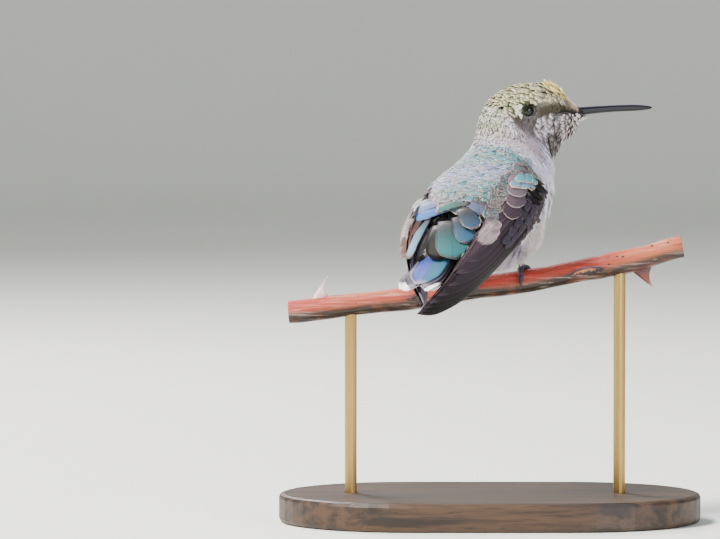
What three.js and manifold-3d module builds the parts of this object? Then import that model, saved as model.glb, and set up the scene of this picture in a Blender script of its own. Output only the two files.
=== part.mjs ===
// A life-size display model of a small hummingbird, a female or young bird with its wings folded,
// gripping a cut length of rose cane that two rods hold above a flat base.
// Millimetres. +Z is up, X runs along the cane, and the origin is under the middle of the base.
// The bird is laid out in its own frame, x forward, y to its left and z up, from the point of
// the cane's top between its feet, and is then turned and lifted onto the cane.
import * as THREE from "three";
import { mergeVertices } from "three/addons/utils/BufferGeometryUtils.js";
import Module from "manifold-3d";

const wasm = await Module();
wasm.setup();

const V = (x, y, z) => new THREE.Vector3(x, y, z);
const RAD = Math.PI / 180;

// ---- driving sizes ----
const GAP = 0.3; // clearance between neighbouring pieces
const BIRD_YAW = 59 * RAD; // heading, anticlockwise from +X
const BIRD_SEAT = V(3.1, 0, 51.9); // where the bird's own origin lies
const HEAD_TURN = -40 * RAD; // the head looks to the bird's right
const MANTLE_HEM = 1.52; // station of the back feathers' lower edge
const MANTLE_STEP = 1.0; // how far that edge stands off the rump
const NECK_FORWARD = 1.5; // forward position of the upright line the head turns about
const TURN_START = 4.2; // station of the body where the turn begins
const TURN_END = 7.2; // station where it is complete
const BODY_RINGS = 34;
const BODY_SIDES = 20;

const EYE_RADIUS = 1.75;
const EYE_FORWARD = 3.5;
const EYE_OUT = 4.9;
const EYE_UP = 33.8;
const BILL_ROOT = V(12.5, 0, 33.0);
const BILL_TIP = V(33.6, 0, 34.15);
const BILL_BOW = 0.35; // rise of the bill's middle above a straight line
const BILL_WIDTH = 1.1; // along most of its length
const BILL_HEIGHT = 1.36;
const BILL_WIDEN = 1.3; // added at the root
const BILL_DEEPEN = 1.0;
const BILL_TIP_FROM = 0.74; // share of the length where it starts to close

const WING_THICK = 1.7; // over the shoulder and coverts
const WING_THIN = 0.62; // over the flight feathers
const WING_CAMBER = 0.12; // bulge as a share of the wing's breadth
const WING_RINGS = 20;

const TAIL_PAIRS = 5;
const TAIL_ROOT = V(-19.5, 0, 10.4);
const TAIL_LENGTH = 19.2;
const TAIL_PITCH = 36 * RAD; // below level
const TAIL_SPREAD_LEFT = 4.8; // sideways reach of the outer feathers' middle
const TAIL_SPREAD_RIGHT = 4.4;
const TAIL_SWING = 0.075; // the tail points this far to the left, per unit of length
const TAIL_FEATHER = 7.2; // breadth of a central feather
const TAIL_STEP = 0.36; // each pair lies this far under the one above
const TAIL_VANE = 0.62; // thickness of one feather

const FOOT_RIGHT = 4.1; // each foot from the bird's seat, along the cane
const FOOT_LEFT = -5.0;
const TARSUS_LENGTH = 4.4;
const TARSUS_RADIUS = 0.62;
const TOE_RADIUS = 0.5;
const CLAW_TIP = 0.26;

const CANE_RADIUS = 2.35;
const CANE_SIDES = 12;
const CANE_STEPS = 21;

const BASE_LENGTH = 88;
const BASE_WIDTH = 54;
const BASE_HEIGHT = 6;
const BASE_BEVEL = 0.9;
const ROD_RADIUS = 1.25;
const ROD_LEFT_X = -29;
const ROD_RIGHT_X = 27;
const ROD_IN_BASE = 3.5; // depth of each rod's socket in the base
const ROD_IN_CANE = 1.9; // depth of each rod's socket in the cane

// Body sections from the tail's root to the bill's root: forward and up position of the middle,
// the lean of the section in degrees, half breadth, reach to the back, reach to the belly,
// and how far the middle lies to the bird's right.
const BODY = [
  [-27.8, 4.9, 36, 3.0, 1.2, 1.8, 0.0],
  [-22.4, 8.6, 34, 5.4, 3.2, 4.4, 0.0],
  [-16.4, 11.9, 34, 9.0, 5.9, 11.0, 0.0],
  [-10.2, 15.2, 38, 10.9, 7.7, 14.6, -0.1],
  [-4.6, 19.4, 48, 10.2, 7.3, 15.0, 0.6],
  [-0.8, 24.4, 64, 8.1, 7.3, 12.6, 1.6],
  [1.6, 28.6, 58, 6.8, 7.9, 11.2, 1.2],
  [3.6, 32.0, 45, 6.5, 7.1, 11.2, 0.5],
  [7.4, 34.2, 30, 6.2, 5.8, 10.0, 0.1],
  [11.6, 34.6, 16, 4.8, 4.4, 7.6, 0.0],
  [15.4, 33.7, 2, 2.6, 1.9, 4.6, 0.0],
  [17.8, 33.2, 0, 1.0, 0.8, 1.6, 0.0],
];

// Folded wing from the shoulder to the tip: the leading edge, then the trailing edge,
// each as forward, up and outward from the bird's middle.
const WING_RIGHT = [
  [-8.8, 23.0, 9.5, -11.0, 23.4, 8.9],
  [-5.0, 18.5, 11.1, -15.4, 20.2, 8.4],
  [-5.0, 14.3, 11.4, -19.6, 16.2, 8.5],
  [-8.4, 9.8, 10.6, -22.6, 12.1, 8.8],
  [-13.2, 5.6, 9.2, -26.4, 7.9, 8.3],
  [-18.8, 1.1, 7.5, -30.5, 3.7, 7.1],
  [-26.3, -3.8, 5.5, -33.7, -0.7, 5.2],
  [-34.1, -6.6, 3.6, -36.9, -4.2, 3.4],
  [-39.6, -7.0, 2.2, -39.5, -6.5, 2.2],
];
const WING_LEFT = [
  [-10.0, 19.4, 6.4, -11.6, 19.6, 6.0],
  [-6.0, 16.6, 9.2, -14.0, 17.8, 7.5],
  [-5.0, 13.6, 10.6, -17.4, 15.1, 8.2],
  [-6.1, 9.7, 10.9, -21.3, 12.0, 8.6],
  [-10.7, 5.6, 10.0, -25.2, 8.2, 8.2],
  [-17.0, 1.2, 8.0, -28.4, 3.7, 6.6],
  [-23.8, -3.0, 4.8, -31.2, -0.9, 3.8],
  [-30.4, -5.4, 1.8, -33.2, -3.7, 1.0],
  [-35.2, -5.2, -0.8, -35.0, -4.7, -0.8],
];

// Middle line of the cane, along X and up.
const CANE_LINE = [
  [-42, 43.7], [-30.2, 45.1], [-20.8, 46.1], [-15, 46.8], [-3.4, 48.7],
  [8.3, 50.3], [22.9, 53.1], [31.3, 54.9], [40, 57.4],
];

// ---- shared shape helpers ----
const clamp = (v, lo, hi) => Math.min(hi, Math.max(lo, v));
const mix = (a, b, t) => a + (b - a) * t;

function ease(a, b, x) {
  const t = clamp((x - a) / (b - a), 0, 1);
  return t * t * (3 - 2 * t);
}

// One row of a table between its rows, by a smooth curve through them.
function along(table, s) {
  const last = table.length - 1;
  const i = clamp(Math.floor(s), 0, last - 1);
  const t = s - i;
  const p = [-1, 0, 1, 2].map((k) => table[clamp(i + k, 0, last)]);
  return p[1].map((b, c) => {
    const a = p[0][c];
    const d = p[2][c];
    const e = p[3][c];
    const slope = d - a;
    const bend = 2 * a - 5 * b + 4 * d - e;
    const twist = -a + 3 * b - 3 * d + e;
    return 0.5 * (2 * b + t * (slope + t * (bend + t * twist)));
  });
}

// A closed skin over rings of equal count, with a middle point closing each end.
function loft(rings) {
  const count = rings[0].length;
  const points = rings.flat();
  const ends = [rings[0], rings[rings.length - 1]].map((ring) => {
    const middle = V(0, 0, 0);
    ring.forEach((p) => middle.add(p));
    return middle.divideScalar(count);
  });
  const first = points.length;
  points.push(...ends);
  const index = [];
  for (let r = 0; r < rings.length - 1; r += 1) {
    for (let k = 0; k < count; k += 1) {
      const a = r * count + k;
      const b = r * count + ((k + 1) % count);
      index.push(a, b, b + count, a, b + count, a + count);
    }
  }
  const top = (rings.length - 1) * count;
  for (let k = 0; k < count; k += 1) {
    const next = (k + 1) % count;
    index.push(first, next, k);
    index.push(first + 1, top + k, top + next);
  }
  const geometry = new THREE.BufferGeometry();
  geometry.setAttribute("position", new THREE.Float32BufferAttribute(points.flatMap((p) => p.toArray()), 3));
  geometry.setIndex(index);
  return geometry;
}

// A boolean solid from a closed geometry, turned face out if need be.
function solid(geometry) {
  let g = geometry.clone();
  g.deleteAttribute("normal");
  g.deleteAttribute("uv");
  g = mergeVertices(g, 1e-4);
  const pos = g.attributes.position;
  const index = Array.from(g.index.array);
  const kept = [];
  let volume = 0;
  const p = [V(0, 0, 0), V(0, 0, 0), V(0, 0, 0)];
  for (let i = 0; i < index.length; i += 3) {
    const [a, b, c] = index.slice(i, i + 3);
    if (a === b || b === c || a === c) continue;
    kept.push(a, b, c);
    [a, b, c].forEach((v, k) => p[k].fromBufferAttribute(pos, v));
    volume += p[0].dot(p[1].clone().cross(p[2]));
  }
  if (volume < 0) kept.reverse();
  const mesh = new wasm.Mesh({
    numProp: 3,
    vertProperties: new Float32Array(pos.array),
    triVerts: new Uint32Array(kept),
  });
  return new wasm.Manifold(mesh);
}

function toGeometry(body) {
  const mesh = body.getMesh();
  const geometry = new THREE.BufferGeometry();
  geometry.setAttribute("position", new THREE.BufferAttribute(new Float32Array(mesh.vertProperties), 3));
  geometry.setIndex(new THREE.BufferAttribute(new Uint32Array(mesh.triVerts), 1));
  geometry.computeVertexNormals();
  return geometry;
}

// A ring of points around a middle, in the plane of two directions, as an oval.
function oval(middle, side, up, halfSide, halfUp, count) {
  return Array.from({ length: count }, (_, k) => {
    const a = (k / count) * 2 * Math.PI;
    return middle.clone()
      .addScaledVector(side, halfSide * Math.sin(a))
      .addScaledVector(up, halfUp * Math.cos(a));
  });
}

// A tapering round limb along a line of points, each with its own radius.
function limb(line, radii, count) {
  const rings = line.map((point, i) => {
    const before = line[Math.max(0, i - 1)];
    const after = line[Math.min(line.length - 1, i + 1)];
    const way = after.clone().sub(before).normalize();
    const help = Math.abs(way.z) < 0.8 ? V(0, 0, 1) : V(1, 0, 0);
    const side = way.clone().cross(help).normalize();
    const up = side.clone().cross(way).normalize();
    return oval(point, side, up, radii[i], radii[i], count);
  });
  return loft(rings);
}

// From the bird's own frame to the stand's.
function seat(p) {
  return p.clone().applyAxisAngle(V(0, 0, 1), BIRD_YAW).add(BIRD_SEAT);
}

// The head's turn about the neck's upright line, as a share of the whole turn.
function turned(p, share) {
  return p.clone()
    .sub(V(NECK_FORWARD, 0, 0))
    .applyAxisAngle(V(0, 0, 1), HEAD_TURN * share)
    .add(V(NECK_FORWARD, 0, 0));
}

// ---- the body: one smooth form from the tail's root to the bill's root ----
function bodyPoint(s, angle, grow) {
  const [forward, height, lean, half, back, belly, right] = along(BODY, s);
  const across = Math.sin(angle);
  const over = Math.cos(angle);
  const mantle = MANTLE_STEP * ease(MANTLE_HEM - 0.13, MANTLE_HEM + 0.12, s)
    * (1 - ease(MANTLE_HEM + 0.5, 5, s)) * ease(-0.3, 0.3, over);
  const reach = (over > 0 ? back : belly) + mantle + grow;
  const rise = V(-Math.sin(lean * RAD), 0, Math.cos(lean * RAD));
  const p = V(forward, 0, height).addScaledVector(rise, reach * over);
  p.y = -right + (half + 0.7 * mantle + grow) * across;
  return turned(p, ease(TURN_START, TURN_END, s));
}

function bodyForm(grow) {
  const rings = [];
  for (let i = 0; i <= BODY_RINGS; i += 1) {
    const s = (i / BODY_RINGS) * (BODY.length - 1);
    rings.push(Array.from({ length: BODY_SIDES }, (_, k) => {
      return seat(bodyPoint(s, (k / BODY_SIDES) * 2 * Math.PI, grow));
    }));
  }
  return solid(loft(rings));
}

// A large block on one side of the section at station s, used to part the body there.
function sideOf(s, sign) {
  const [forward, height, lean] = along(BODY, s);
  const share = ease(TURN_START, TURN_END, s);
  const here = turned(V(forward, 0, height), share);
  const ahead = turned(V(forward + Math.cos(lean * RAD), 0, height + Math.sin(lean * RAD)), share);
  const normal = ahead.clone().sub(here).applyAxisAngle(V(0, 0, 1), BIRD_YAW).multiplyScalar(sign);
  const block = new THREE.BoxGeometry(160, 160, 160);
  block.translate(0, 0, 80 + GAP / 2);
  block.applyQuaternion(new THREE.Quaternion().setFromUnitVectors(V(0, 0, 1), normal));
  const at = seat(here);
  block.translate(at.x, at.y, at.z);
  return solid(block);
}

// ---- a folded wing: a thin cambered blade, ridged where one feather overlaps the next ----
function wingForm(table, side, grow) {
  const rings = [];
  const outer = 11;
  const inner = 5;
  for (let i = 0; i <= WING_RINGS; i += 1) {
    const u = i / WING_RINGS;
    const s = u * (table.length - 1);
    const here = along(table, s);
    const ahead = along(table, Math.min(s + 0.05, table.length - 1));
    const behind = along(table, Math.max(s - 0.05, 0));
    const lead = V(here[0], -side * here[2], here[1]);
    const trail = V(here[3], -side * here[5], here[4]);
    const chord = trail.clone().sub(lead);
    const breadth = chord.length();
    const way = V(ahead[0] - behind[0], -side * (ahead[2] - behind[2]), ahead[1] - behind[1]);
    const out = chord.clone().cross(way).normalize();
    if (out.y * -side < 0) out.negate();
    const step = chord.clone().normalize();
    const thick = mix(WING_THICK, WING_THIN, ease(0.12, 0.5, u)) * (1 - 0.25 * ease(0.9, 1, u));
    const ridge = 0.22 * ease(0.3, 0.5, u) * (1 - ease(0.85, 1, u));
    const bulge = WING_CAMBER * breadth * (1 - ease(0.5, 1, u) * 0.5);
    const notch = 0.35 * ((u * 9) % 1) * ease(0.2, 0.3, u) * (1 - ease(0.9, 1, u));
    const ring = [];
    for (let k = 0; k < outer; k += 1) {
      const c = k / (outer - 1);
      const arch = 4 * c * (1 - c);
      const saw = (k % 2) * ridge;
      const height = bulge * arch + (thick / 2) * (0.8 + 0.2 * arch) + saw + grow;
      ring.push(lead.clone().addScaledVector(chord, c).addScaledVector(out, height)
        .addScaledVector(step, mix(-grow, grow + notch, c)));
    }
    for (let k = inner - 1; k >= 0; k -= 1) {
      const c = k / (inner - 1);
      const arch = 4 * c * (1 - c);
      const height = bulge * arch - (thick / 2) * (0.8 + 0.2 * arch) - grow;
      ring.push(lead.clone().addScaledVector(chord, c).addScaledVector(out, height)
        .addScaledVector(step, mix(-grow, grow + notch, c)));
    }
    rings.push(ring.map(seat));
  }
  return solid(loft(rings));
}

// ---- the tail: overlapping rounded feathers, the middle pair on top ----
function tailFeather(pair, side) {
  const spread = (pair + 0.42) / (TAIL_PAIRS - 0.58);
  const way = V(-Math.cos(TAIL_PITCH), 0, -Math.sin(TAIL_PITCH));
  const up = V(-Math.sin(TAIL_PITCH), 0, Math.cos(TAIL_PITCH));
  const length = TAIL_LENGTH * (1 - 0.035 * Math.abs(pair - 2));
  const breadth = TAIL_FEATHER * (1 - 0.07 * pair);
  const steps = 7;
  const rings = [];
  for (let i = 0; i <= steps; i += 1) {
    const t = i / steps;
    const reach = side > 0 ? TAIL_SPREAD_RIGHT : TAIL_SPREAD_LEFT;
    const sideways = -side * spread * mix(0.7, reach, t ** 1.15);
    const middle = TAIL_ROOT.clone()
      .addScaledVector(way, length * t)
      .addScaledVector(up, -TAIL_STEP * (pair + (side > 0 ? 0 : 0.5)) - 0.9 * t * t);
    middle.y += sideways + TAIL_SWING * length * t;
    const round = Math.sqrt(Math.max(0, 1 - ease(0.72, 1, t) ** 2 * 0.93));
    const half = (breadth / 2) * mix(0.45, 1, ease(0, 0.55, t)) * round;
    const rim = TAIL_VANE * 0.4;
    const mid = TAIL_VANE * 0.62;
    const spine = up.clone();
    const across = V(0, 1, 0);
    rings.push([
      [-half, rim], [0, mid], [half, rim], [half, -rim], [0, -mid], [-half, -rim],
    ].map(([a, h]) => seat(middle.clone().addScaledVector(across, a).addScaledVector(spine, h))));
  }
  return solid(loft(rings));
}

function tailForm() {
  let whole = null;
  for (let pair = 0; pair < TAIL_PAIRS; pair += 1) {
    for (const side of [1, -1]) {
      const feather = tailFeather(pair, side);
      whole = whole ? whole.add(feather) : feather;
    }
  }
  return whole;
}

// ---- the bill: slim, oval, a little bowed, with a fine line where its halves close ----
function billForm(grow) {
  const rings = [];
  const steps = 12;
  for (let i = 0; i <= steps; i += 1) {
    const t = 1 - (1 - i / steps) ** 1.35;
    const middle = BILL_ROOT.clone().lerp(BILL_TIP, t);
    middle.z += BILL_BOW * Math.sin(Math.PI * t);
    const swell = (1 - t) ** 3.2;
    const blunt = Math.sqrt(1 - 0.93 * clamp((t - BILL_TIP_FROM) / (1 - BILL_TIP_FROM), 0, 1) ** 2);
    const wide = ((BILL_WIDTH + BILL_WIDEN * swell) / 2) * blunt + grow;
    const tall = ((BILL_HEIGHT + BILL_DEEPEN * swell) / 2) * blunt + grow;
    rings.push(oval(middle, V(0, 1, 0), V(0, 0, 1), wide, tall, 10).map((p) => seat(turned(p, 1))));
  }
  return solid(loft(rings));
}

// ---- eyes ----
function eyeForm(side, grow) {
  const ball = new THREE.SphereGeometry(EYE_RADIUS + grow, 12, 8);
  const at = seat(turned(V(EYE_FORWARD, -side * EYE_OUT, EYE_UP), 1));
  ball.translate(at.x, at.y, at.z);
  return solid(ball);
}

// ---- the cane ----
function caneAt(x) {
  const last = CANE_LINE.length - 1;
  let i = 0;
  while (i < last - 1 && CANE_LINE[i + 1][0] < x) i += 1;
  const t = (x - CANE_LINE[i][0]) / (CANE_LINE[i + 1][0] - CANE_LINE[i][0]);
  return V(x, 0, along(CANE_LINE, i + t)[1]);
}

function caneWay(x) {
  return caneAt(x + 0.5).sub(caneAt(x - 0.5)).normalize();
}

// A point beside the cane: an angle around it from the top towards +Y, and a distance out.
function aroundCane(x, angle, out) {
  const way = caneWay(clamp(x, -41, 39));
  const rise = V(0, 1, 0).cross(way).negate();
  return caneAt(x)
    .addScaledVector(rise, Math.cos(angle) * out)
    .add(V(0, Math.sin(angle) * out, 0));
}

// A prickle: a broad flat foot along the cane, drawn out to a hooked point.
function prickle(x, angle, length, foot, hook) {
  const rings = [];
  const steps = 6;
  for (let i = 0; i <= steps; i += 1) {
    const t = i / steps;
    const flare = (1 - t) ** 2.1;
    const out = CANE_RADIUS - 0.9 + (length + 0.9) * t;
    const middle = aroundCane(x + hook * t * t, angle, out);
    const way = caneWay(x);
    const across = way.clone().cross(V(0, 1, 0)).normalize().cross(way).normalize();
    const halfAlong = mix(0.28, foot, flare);
    const halfAcross = mix(0.26, 1.25, flare);
    rings.push(oval(middle, way, across, halfAlong, halfAcross, 8));
  }
  return solid(loft(rings));
}

function caneForm() {
  const rings = [];
  for (let i = 0; i <= CANE_STEPS; i += 1) {
    const x = mix(-42, 40, i / CANE_STEPS);
    const swell = 1 + 0.03 * Math.sin(x * 0.31) + 0.05 * Math.exp(-(((x - 28) / 5) ** 2));
    rings.push(Array.from({ length: CANE_SIDES }, (_, k) => {
      return aroundCane(x, (k / CANE_SIDES) * 2 * Math.PI, CANE_RADIUS * swell);
    }));
  }
  return solid(loft(rings))
    .add(prickle(-35.2, 0, 4.2, 2.8, 2.4))
    .add(prickle(31.0, Math.PI, 5.0, 2.9, 1.7))
    .add(prickle(26.6, Math.PI, 0.9, 0.9, 0.2))
    .add(prickle(-16.2, -0.5 * Math.PI, 1.1, 1.5, -0.8));
}

// ---- legs and feet ----
function footAt(side) {
  const x = BIRD_SEAT.x + (side > 0 ? FOOT_RIGHT : FOOT_LEFT);
  return aroundCane(x, 0, CANE_RADIUS + 0.2 + TOE_RADIUS);
}

// A toe bends round the cane from its top, and its claw reaches on down.
function toe(side, turn, drift, reach) {
  const x = BIRD_SEAT.x + (side > 0 ? FOOT_RIGHT : FOOT_LEFT);
  const line = [];
  const radii = [];
  const steps = 8;
  for (let i = 0; i <= steps; i += 1) {
    const t = i / steps;
    const claw = ease(0.7, 0.78, t);
    const knuckle = 1 + 0.13 * Math.cos(t * 6 * Math.PI) * (1 - claw);
    const radius = mix(TOE_RADIUS * knuckle, CLAW_TIP, claw) * (claw > 0.5 ? mix(1.35, 1, (t - 0.75) * 4) : 1);
    const lift = 0.28 * Math.sin(Math.PI * clamp((t - 0.66) / 0.3, 0, 1));
    const out = CANE_RADIUS * 1.03 + 0.22 + TOE_RADIUS * 1.1 + lift;
    line.push(aroundCane(x + drift * t, turn * reach * t, out));
    radii.push(radius);
  }
  return solid(limb(line, radii, 6));
}

function footForm(side) {
  const ankle = footAt(side);
  const back = V(-1, 0, 0).applyAxisAngle(V(0, 0, 1), BIRD_YAW);
  const heel = ankle.clone().add(V(0, 0, TARSUS_LENGTH * 0.9)).addScaledVector(back, 1.6);
  const middle = ankle.clone().lerp(heel, 0.5).addScaledVector(back, 0.15);
  const shank = limb(
    [ankle.clone().add(V(0, 0, -0.1)), ankle.clone().lerp(middle, 0.4), middle, heel],
    [TARSUS_RADIUS * 1.15, TARSUS_RADIUS * 0.95, TARSUS_RADIUS * 0.9, TARSUS_RADIUS * 1.1],
    8,
  );
  const pad = new THREE.SphereGeometry(TARSUS_RADIUS * 1.2, 10, 6);
  pad.translate(ankle.x, ankle.y, ankle.z + 0.15);
  return solid(shank)
    .add(solid(pad))
    .add(toe(side, -1, -1.1, 2.0)) // hind toe, on the tail's side of the cane
    .add(toe(side, 1, -1.4, 1.9))
    .add(toe(side, 1, 0.9, 2.15))
    .add(toe(side, 1, 3.2, 1.9));
}

// The feathered thigh: a tapering drumstick from inside the flank down to the heel.
function thighForm(side, grow) {
  const ankle = footAt(side);
  const unseat = ankle.clone().sub(BIRD_SEAT).applyAxisAngle(V(0, 0, 1), -BIRD_YAW);
  const line = [
    V(-6.0, -side * 5.4, 13.5),
    V(-3.4, -side * 6.0, 10.6),
    V(-1.4, -side * 5.6, 7.6),
    V(unseat.x - 1.1, mix(unseat.y, -side * 5.2, 0.7), 5.2),
    V(unseat.x - 1.4, mix(unseat.y, -side * 4.6, 0.35), 3.6),
    V(unseat.x - 1.3, unseat.y, 2.3),
  ];
  const sizes = [[3.4, 4.2], [3.9, 5.0], [3.4, 4.2], [2.5, 2.9], [1.6, 1.8], [0.95, 1.05]];
  const rings = [];
  const steps = 14;
  for (let i = 0; i <= steps; i += 1) {
    const s = (i / steps) * (line.length - 1);
    const [x, y, z, half, deep] = along(line.map((p, k) => [p.x, p.y, p.z, ...sizes[k]]), s);
    rings.push(oval(V(x, y, z), V(0, 1, 0), V(0.87, 0, 0.5), half + grow, deep + grow, 12).map(seat));
  }
  return solid(loft(rings));
}

// ---- the stand ----
function baseForm() {
  const round = BASE_WIDTH / 2;
  const x = BASE_LENGTH / 2 - round;
  const outline = new THREE.Shape();
  outline.moveTo(-x, -round + BASE_BEVEL);
  outline.lineTo(x, -round + BASE_BEVEL);
  outline.absarc(x, 0, round - BASE_BEVEL, -Math.PI / 2, Math.PI / 2, false);
  outline.lineTo(-x, round - BASE_BEVEL);
  outline.absarc(-x, 0, round - BASE_BEVEL, Math.PI / 2, 1.5 * Math.PI, false);
  const plate = new THREE.ExtrudeGeometry(outline, {
    depth: BASE_HEIGHT - 2 * BASE_BEVEL,
    bevelEnabled: true,
    bevelThickness: BASE_BEVEL,
    bevelSize: BASE_BEVEL,
    bevelSegments: 2,
    curveSegments: 10,
  });
  plate.translate(0, 0, BASE_BEVEL);
  return solid(plate);
}

function rodForm(x, grow) {
  const foot = BASE_HEIGHT - ROD_IN_BASE - grow;
  const head = caneAt(x).z - CANE_RADIUS + ROD_IN_CANE + grow;
  const rod = new THREE.CylinderGeometry(ROD_RADIUS + grow, ROD_RADIUS + grow, head - foot, 16);
  rod.rotateX(Math.PI / 2);
  rod.translate(x, 0, (head + foot) / 2);
  return solid(rod);
}

// ---- put together, each piece cut back from its neighbours by the gap ----
const wingRight = wingForm(WING_RIGHT, 1, 0);
const wingLeft = wingForm(WING_LEFT, -1, 0);
const wingRoom = wingForm(WING_RIGHT, 1, GAP).add(wingForm(WING_LEFT, -1, GAP));
const bodyRoom = bodyForm(GAP);
const body = bodyForm(0).subtract(wingRoom);
const footRight = footForm(1);
const footLeft = footForm(-1);
const thighRight = thighForm(1, 0).subtract(bodyRoom).subtract(wingRoom);
const thighLeft = thighForm(-1, 0).subtract(bodyRoom).subtract(wingRoom);
const thighRoom = thighForm(1, GAP).add(thighForm(-1, GAP)).add(bodyRoom);
const eyes = { right: eyeForm(1, 0), left: eyeForm(-1, 0) };
const eyeRoom = eyeForm(1, 0.2).add(eyeForm(-1, 0.2));
const bill = billForm(0);
const neckLow = 5.25;
const neckHigh = 6.55;
const rods = { left: rodForm(ROD_LEFT_X, 0), right: rodForm(ROD_RIGHT_X, 0) };
const rodRoom = rodForm(ROD_LEFT_X, GAP / 2).add(rodForm(ROD_RIGHT_X, GAP / 2));

const LOOK = {
  back: ["#8c9a98", 0.75],
  neck: ["#a9a5a3", 0.8],
  head: ["#8f8d78", 0.8],
  tail: ["#5c7f8e", 0.6],
  wing: ["#5f5560", 0.65],
  thigh: ["#c9c2c0", 0.9],
  foot: ["#2a2628", 0.6],
  bill: ["#2e2a33", 0.4],
  eye: ["#0d0b0b", 0.08],
  cane: ["#b8604a", 0.55],
  base: ["#3a2c22", 0.35],
  rod: ["#b9975a", 0.3],
};

const group = new THREE.Group();
function put(name, form, look) {
  const [color, roughness] = LOOK[look];
  const metalness = look === "rod" ? 1 : 0;
  const material = new THREE.MeshStandardMaterial({ color, roughness, metalness });
  const mesh = new THREE.Mesh(toGeometry(form), material);
  mesh.name = name;
  group.add(mesh);
}

put("trunk", body.intersect(sideOf(neckLow, -1)), "back");
put("neck", body.intersect(sideOf(neckLow, 1)).intersect(sideOf(neckHigh, -1)), "neck");
put("head", body.intersect(sideOf(neckHigh, 1)).subtract(eyeRoom).subtract(billForm(0.2)), "head");
put("tail", tailForm().subtract(bodyRoom).subtract(wingRoom), "tail");
put("wing_left", wingLeft, "wing");
put("wing_right", wingRight, "wing");
put("leg_left", thighLeft, "thigh");
put("leg_right", thighRight, "thigh");
put("foot_left", footLeft.subtract(thighRoom), "foot");
put("foot_right", footRight.subtract(thighRoom), "foot");
put("eye_left", eyes.left, "eye");
put("eye_right", eyes.right, "eye");
put("bill", bill, "bill");
put("perch_cane", caneForm().subtract(rodRoom), "cane");
put("stand_base", baseForm().subtract(rodRoom), "base");
put("stand_rod_left", rods.left, "rod");
put("stand_rod_right", rods.right, "rod");

export default group;
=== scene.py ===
import math
from functools import partial
import bpy
import numpy as np
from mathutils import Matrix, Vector


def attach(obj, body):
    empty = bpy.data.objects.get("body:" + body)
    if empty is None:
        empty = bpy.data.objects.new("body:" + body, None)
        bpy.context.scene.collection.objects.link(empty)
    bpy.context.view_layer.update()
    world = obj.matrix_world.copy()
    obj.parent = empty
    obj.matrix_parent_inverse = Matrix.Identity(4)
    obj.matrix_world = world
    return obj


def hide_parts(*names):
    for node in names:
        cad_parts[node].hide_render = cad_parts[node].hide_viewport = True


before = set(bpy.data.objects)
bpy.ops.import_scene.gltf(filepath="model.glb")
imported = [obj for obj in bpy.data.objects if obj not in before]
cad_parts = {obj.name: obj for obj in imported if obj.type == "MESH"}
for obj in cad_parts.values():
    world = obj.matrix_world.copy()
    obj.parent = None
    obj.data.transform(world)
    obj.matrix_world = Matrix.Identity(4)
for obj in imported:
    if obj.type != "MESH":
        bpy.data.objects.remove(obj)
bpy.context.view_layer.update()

# A hummingbird in female or young plumage on a cut length of rose cane, as a museum model.
# The bird is worked out in millimetres in its own frame (x forward, y left, z up, from the
# top of the cane between its feet) and then set on the cane.

mm = 0.001
bothSides = ((1, "right"), (-1, "left"))
chance = np.random.default_rng(11)


def linear(hexColour):
    # sRGB to linear light: c / 12.92 in the darks, else ((c + 0.055) / 1.055) ^ 2.4
    c = np.array([int(hexColour[i:i + 2], 16) for i in (1, 3, 5)]) / 255
    return np.where(c <= 0.04045, c / 12.92, ((c + 0.055) / 1.055) ** 2.4)


def ease(a, b, x):
    # 0 at a, 1 at b and smooth between: t * t * (3 - 2 t), with t the share of the way, held in 0 to 1
    t = np.clip((x - a) / (b - a), 0, 1)
    return t * t * (3 - 2 * t)


def mix(a, b, t):
    # a + (b - a) * t
    return a + (b - a) * t


def alongRows(table, s):
    # a smooth curve through the rows of a table (Catmull-Rom), read at s rows from its start
    n = len(table)
    i = np.clip(np.floor(s).astype(int), 0, n - 2)
    t = (s - i)[..., None]
    a, b, c, d = (table[np.clip(i + k, 0, n - 1)] for k in (-1, 0, 1, 2))
    return 0.5 * (2 * b + t * (c - a + t * (2 * a - 5 * b + 4 * c - d + t * (3 * b - a - 3 * c + d))))


def even(*values):
    # the values as number arrays of one shape
    return np.broadcast_arrays(*(np.asarray(v, float) for v in values))


def circle(count, start=0.0):
    # a row of angles evenly round a full turn
    return np.linspace(start, start + 2 * np.pi, count, endpoint=False)[None, :]


def unit(v):
    # each vector over its own length
    return v / np.maximum(np.linalg.norm(v, axis=-1, keepdims=True), 1e-9)


def faceOut(points, faces):
    # turns every face over when the signed volume, the sum of a . (b x c), is negative
    points = np.asarray(points, float).reshape(-1, 3)
    faces = [np.asarray(f) for f in faces if len(f)]
    centred = points - points.mean(0)
    volume = 0.0
    for f in faces:
        for k in range(1, f.shape[1] - 1):
            a, b, c = centred[f[:, 0]], centred[f[:, k]], centred[f[:, k + 1]]
            volume += np.einsum("ij,ij->i", a, np.cross(b, c)).sum()
    return points, [f[:, ::-1] for f in faces] if volume < 0 else faces


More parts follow.
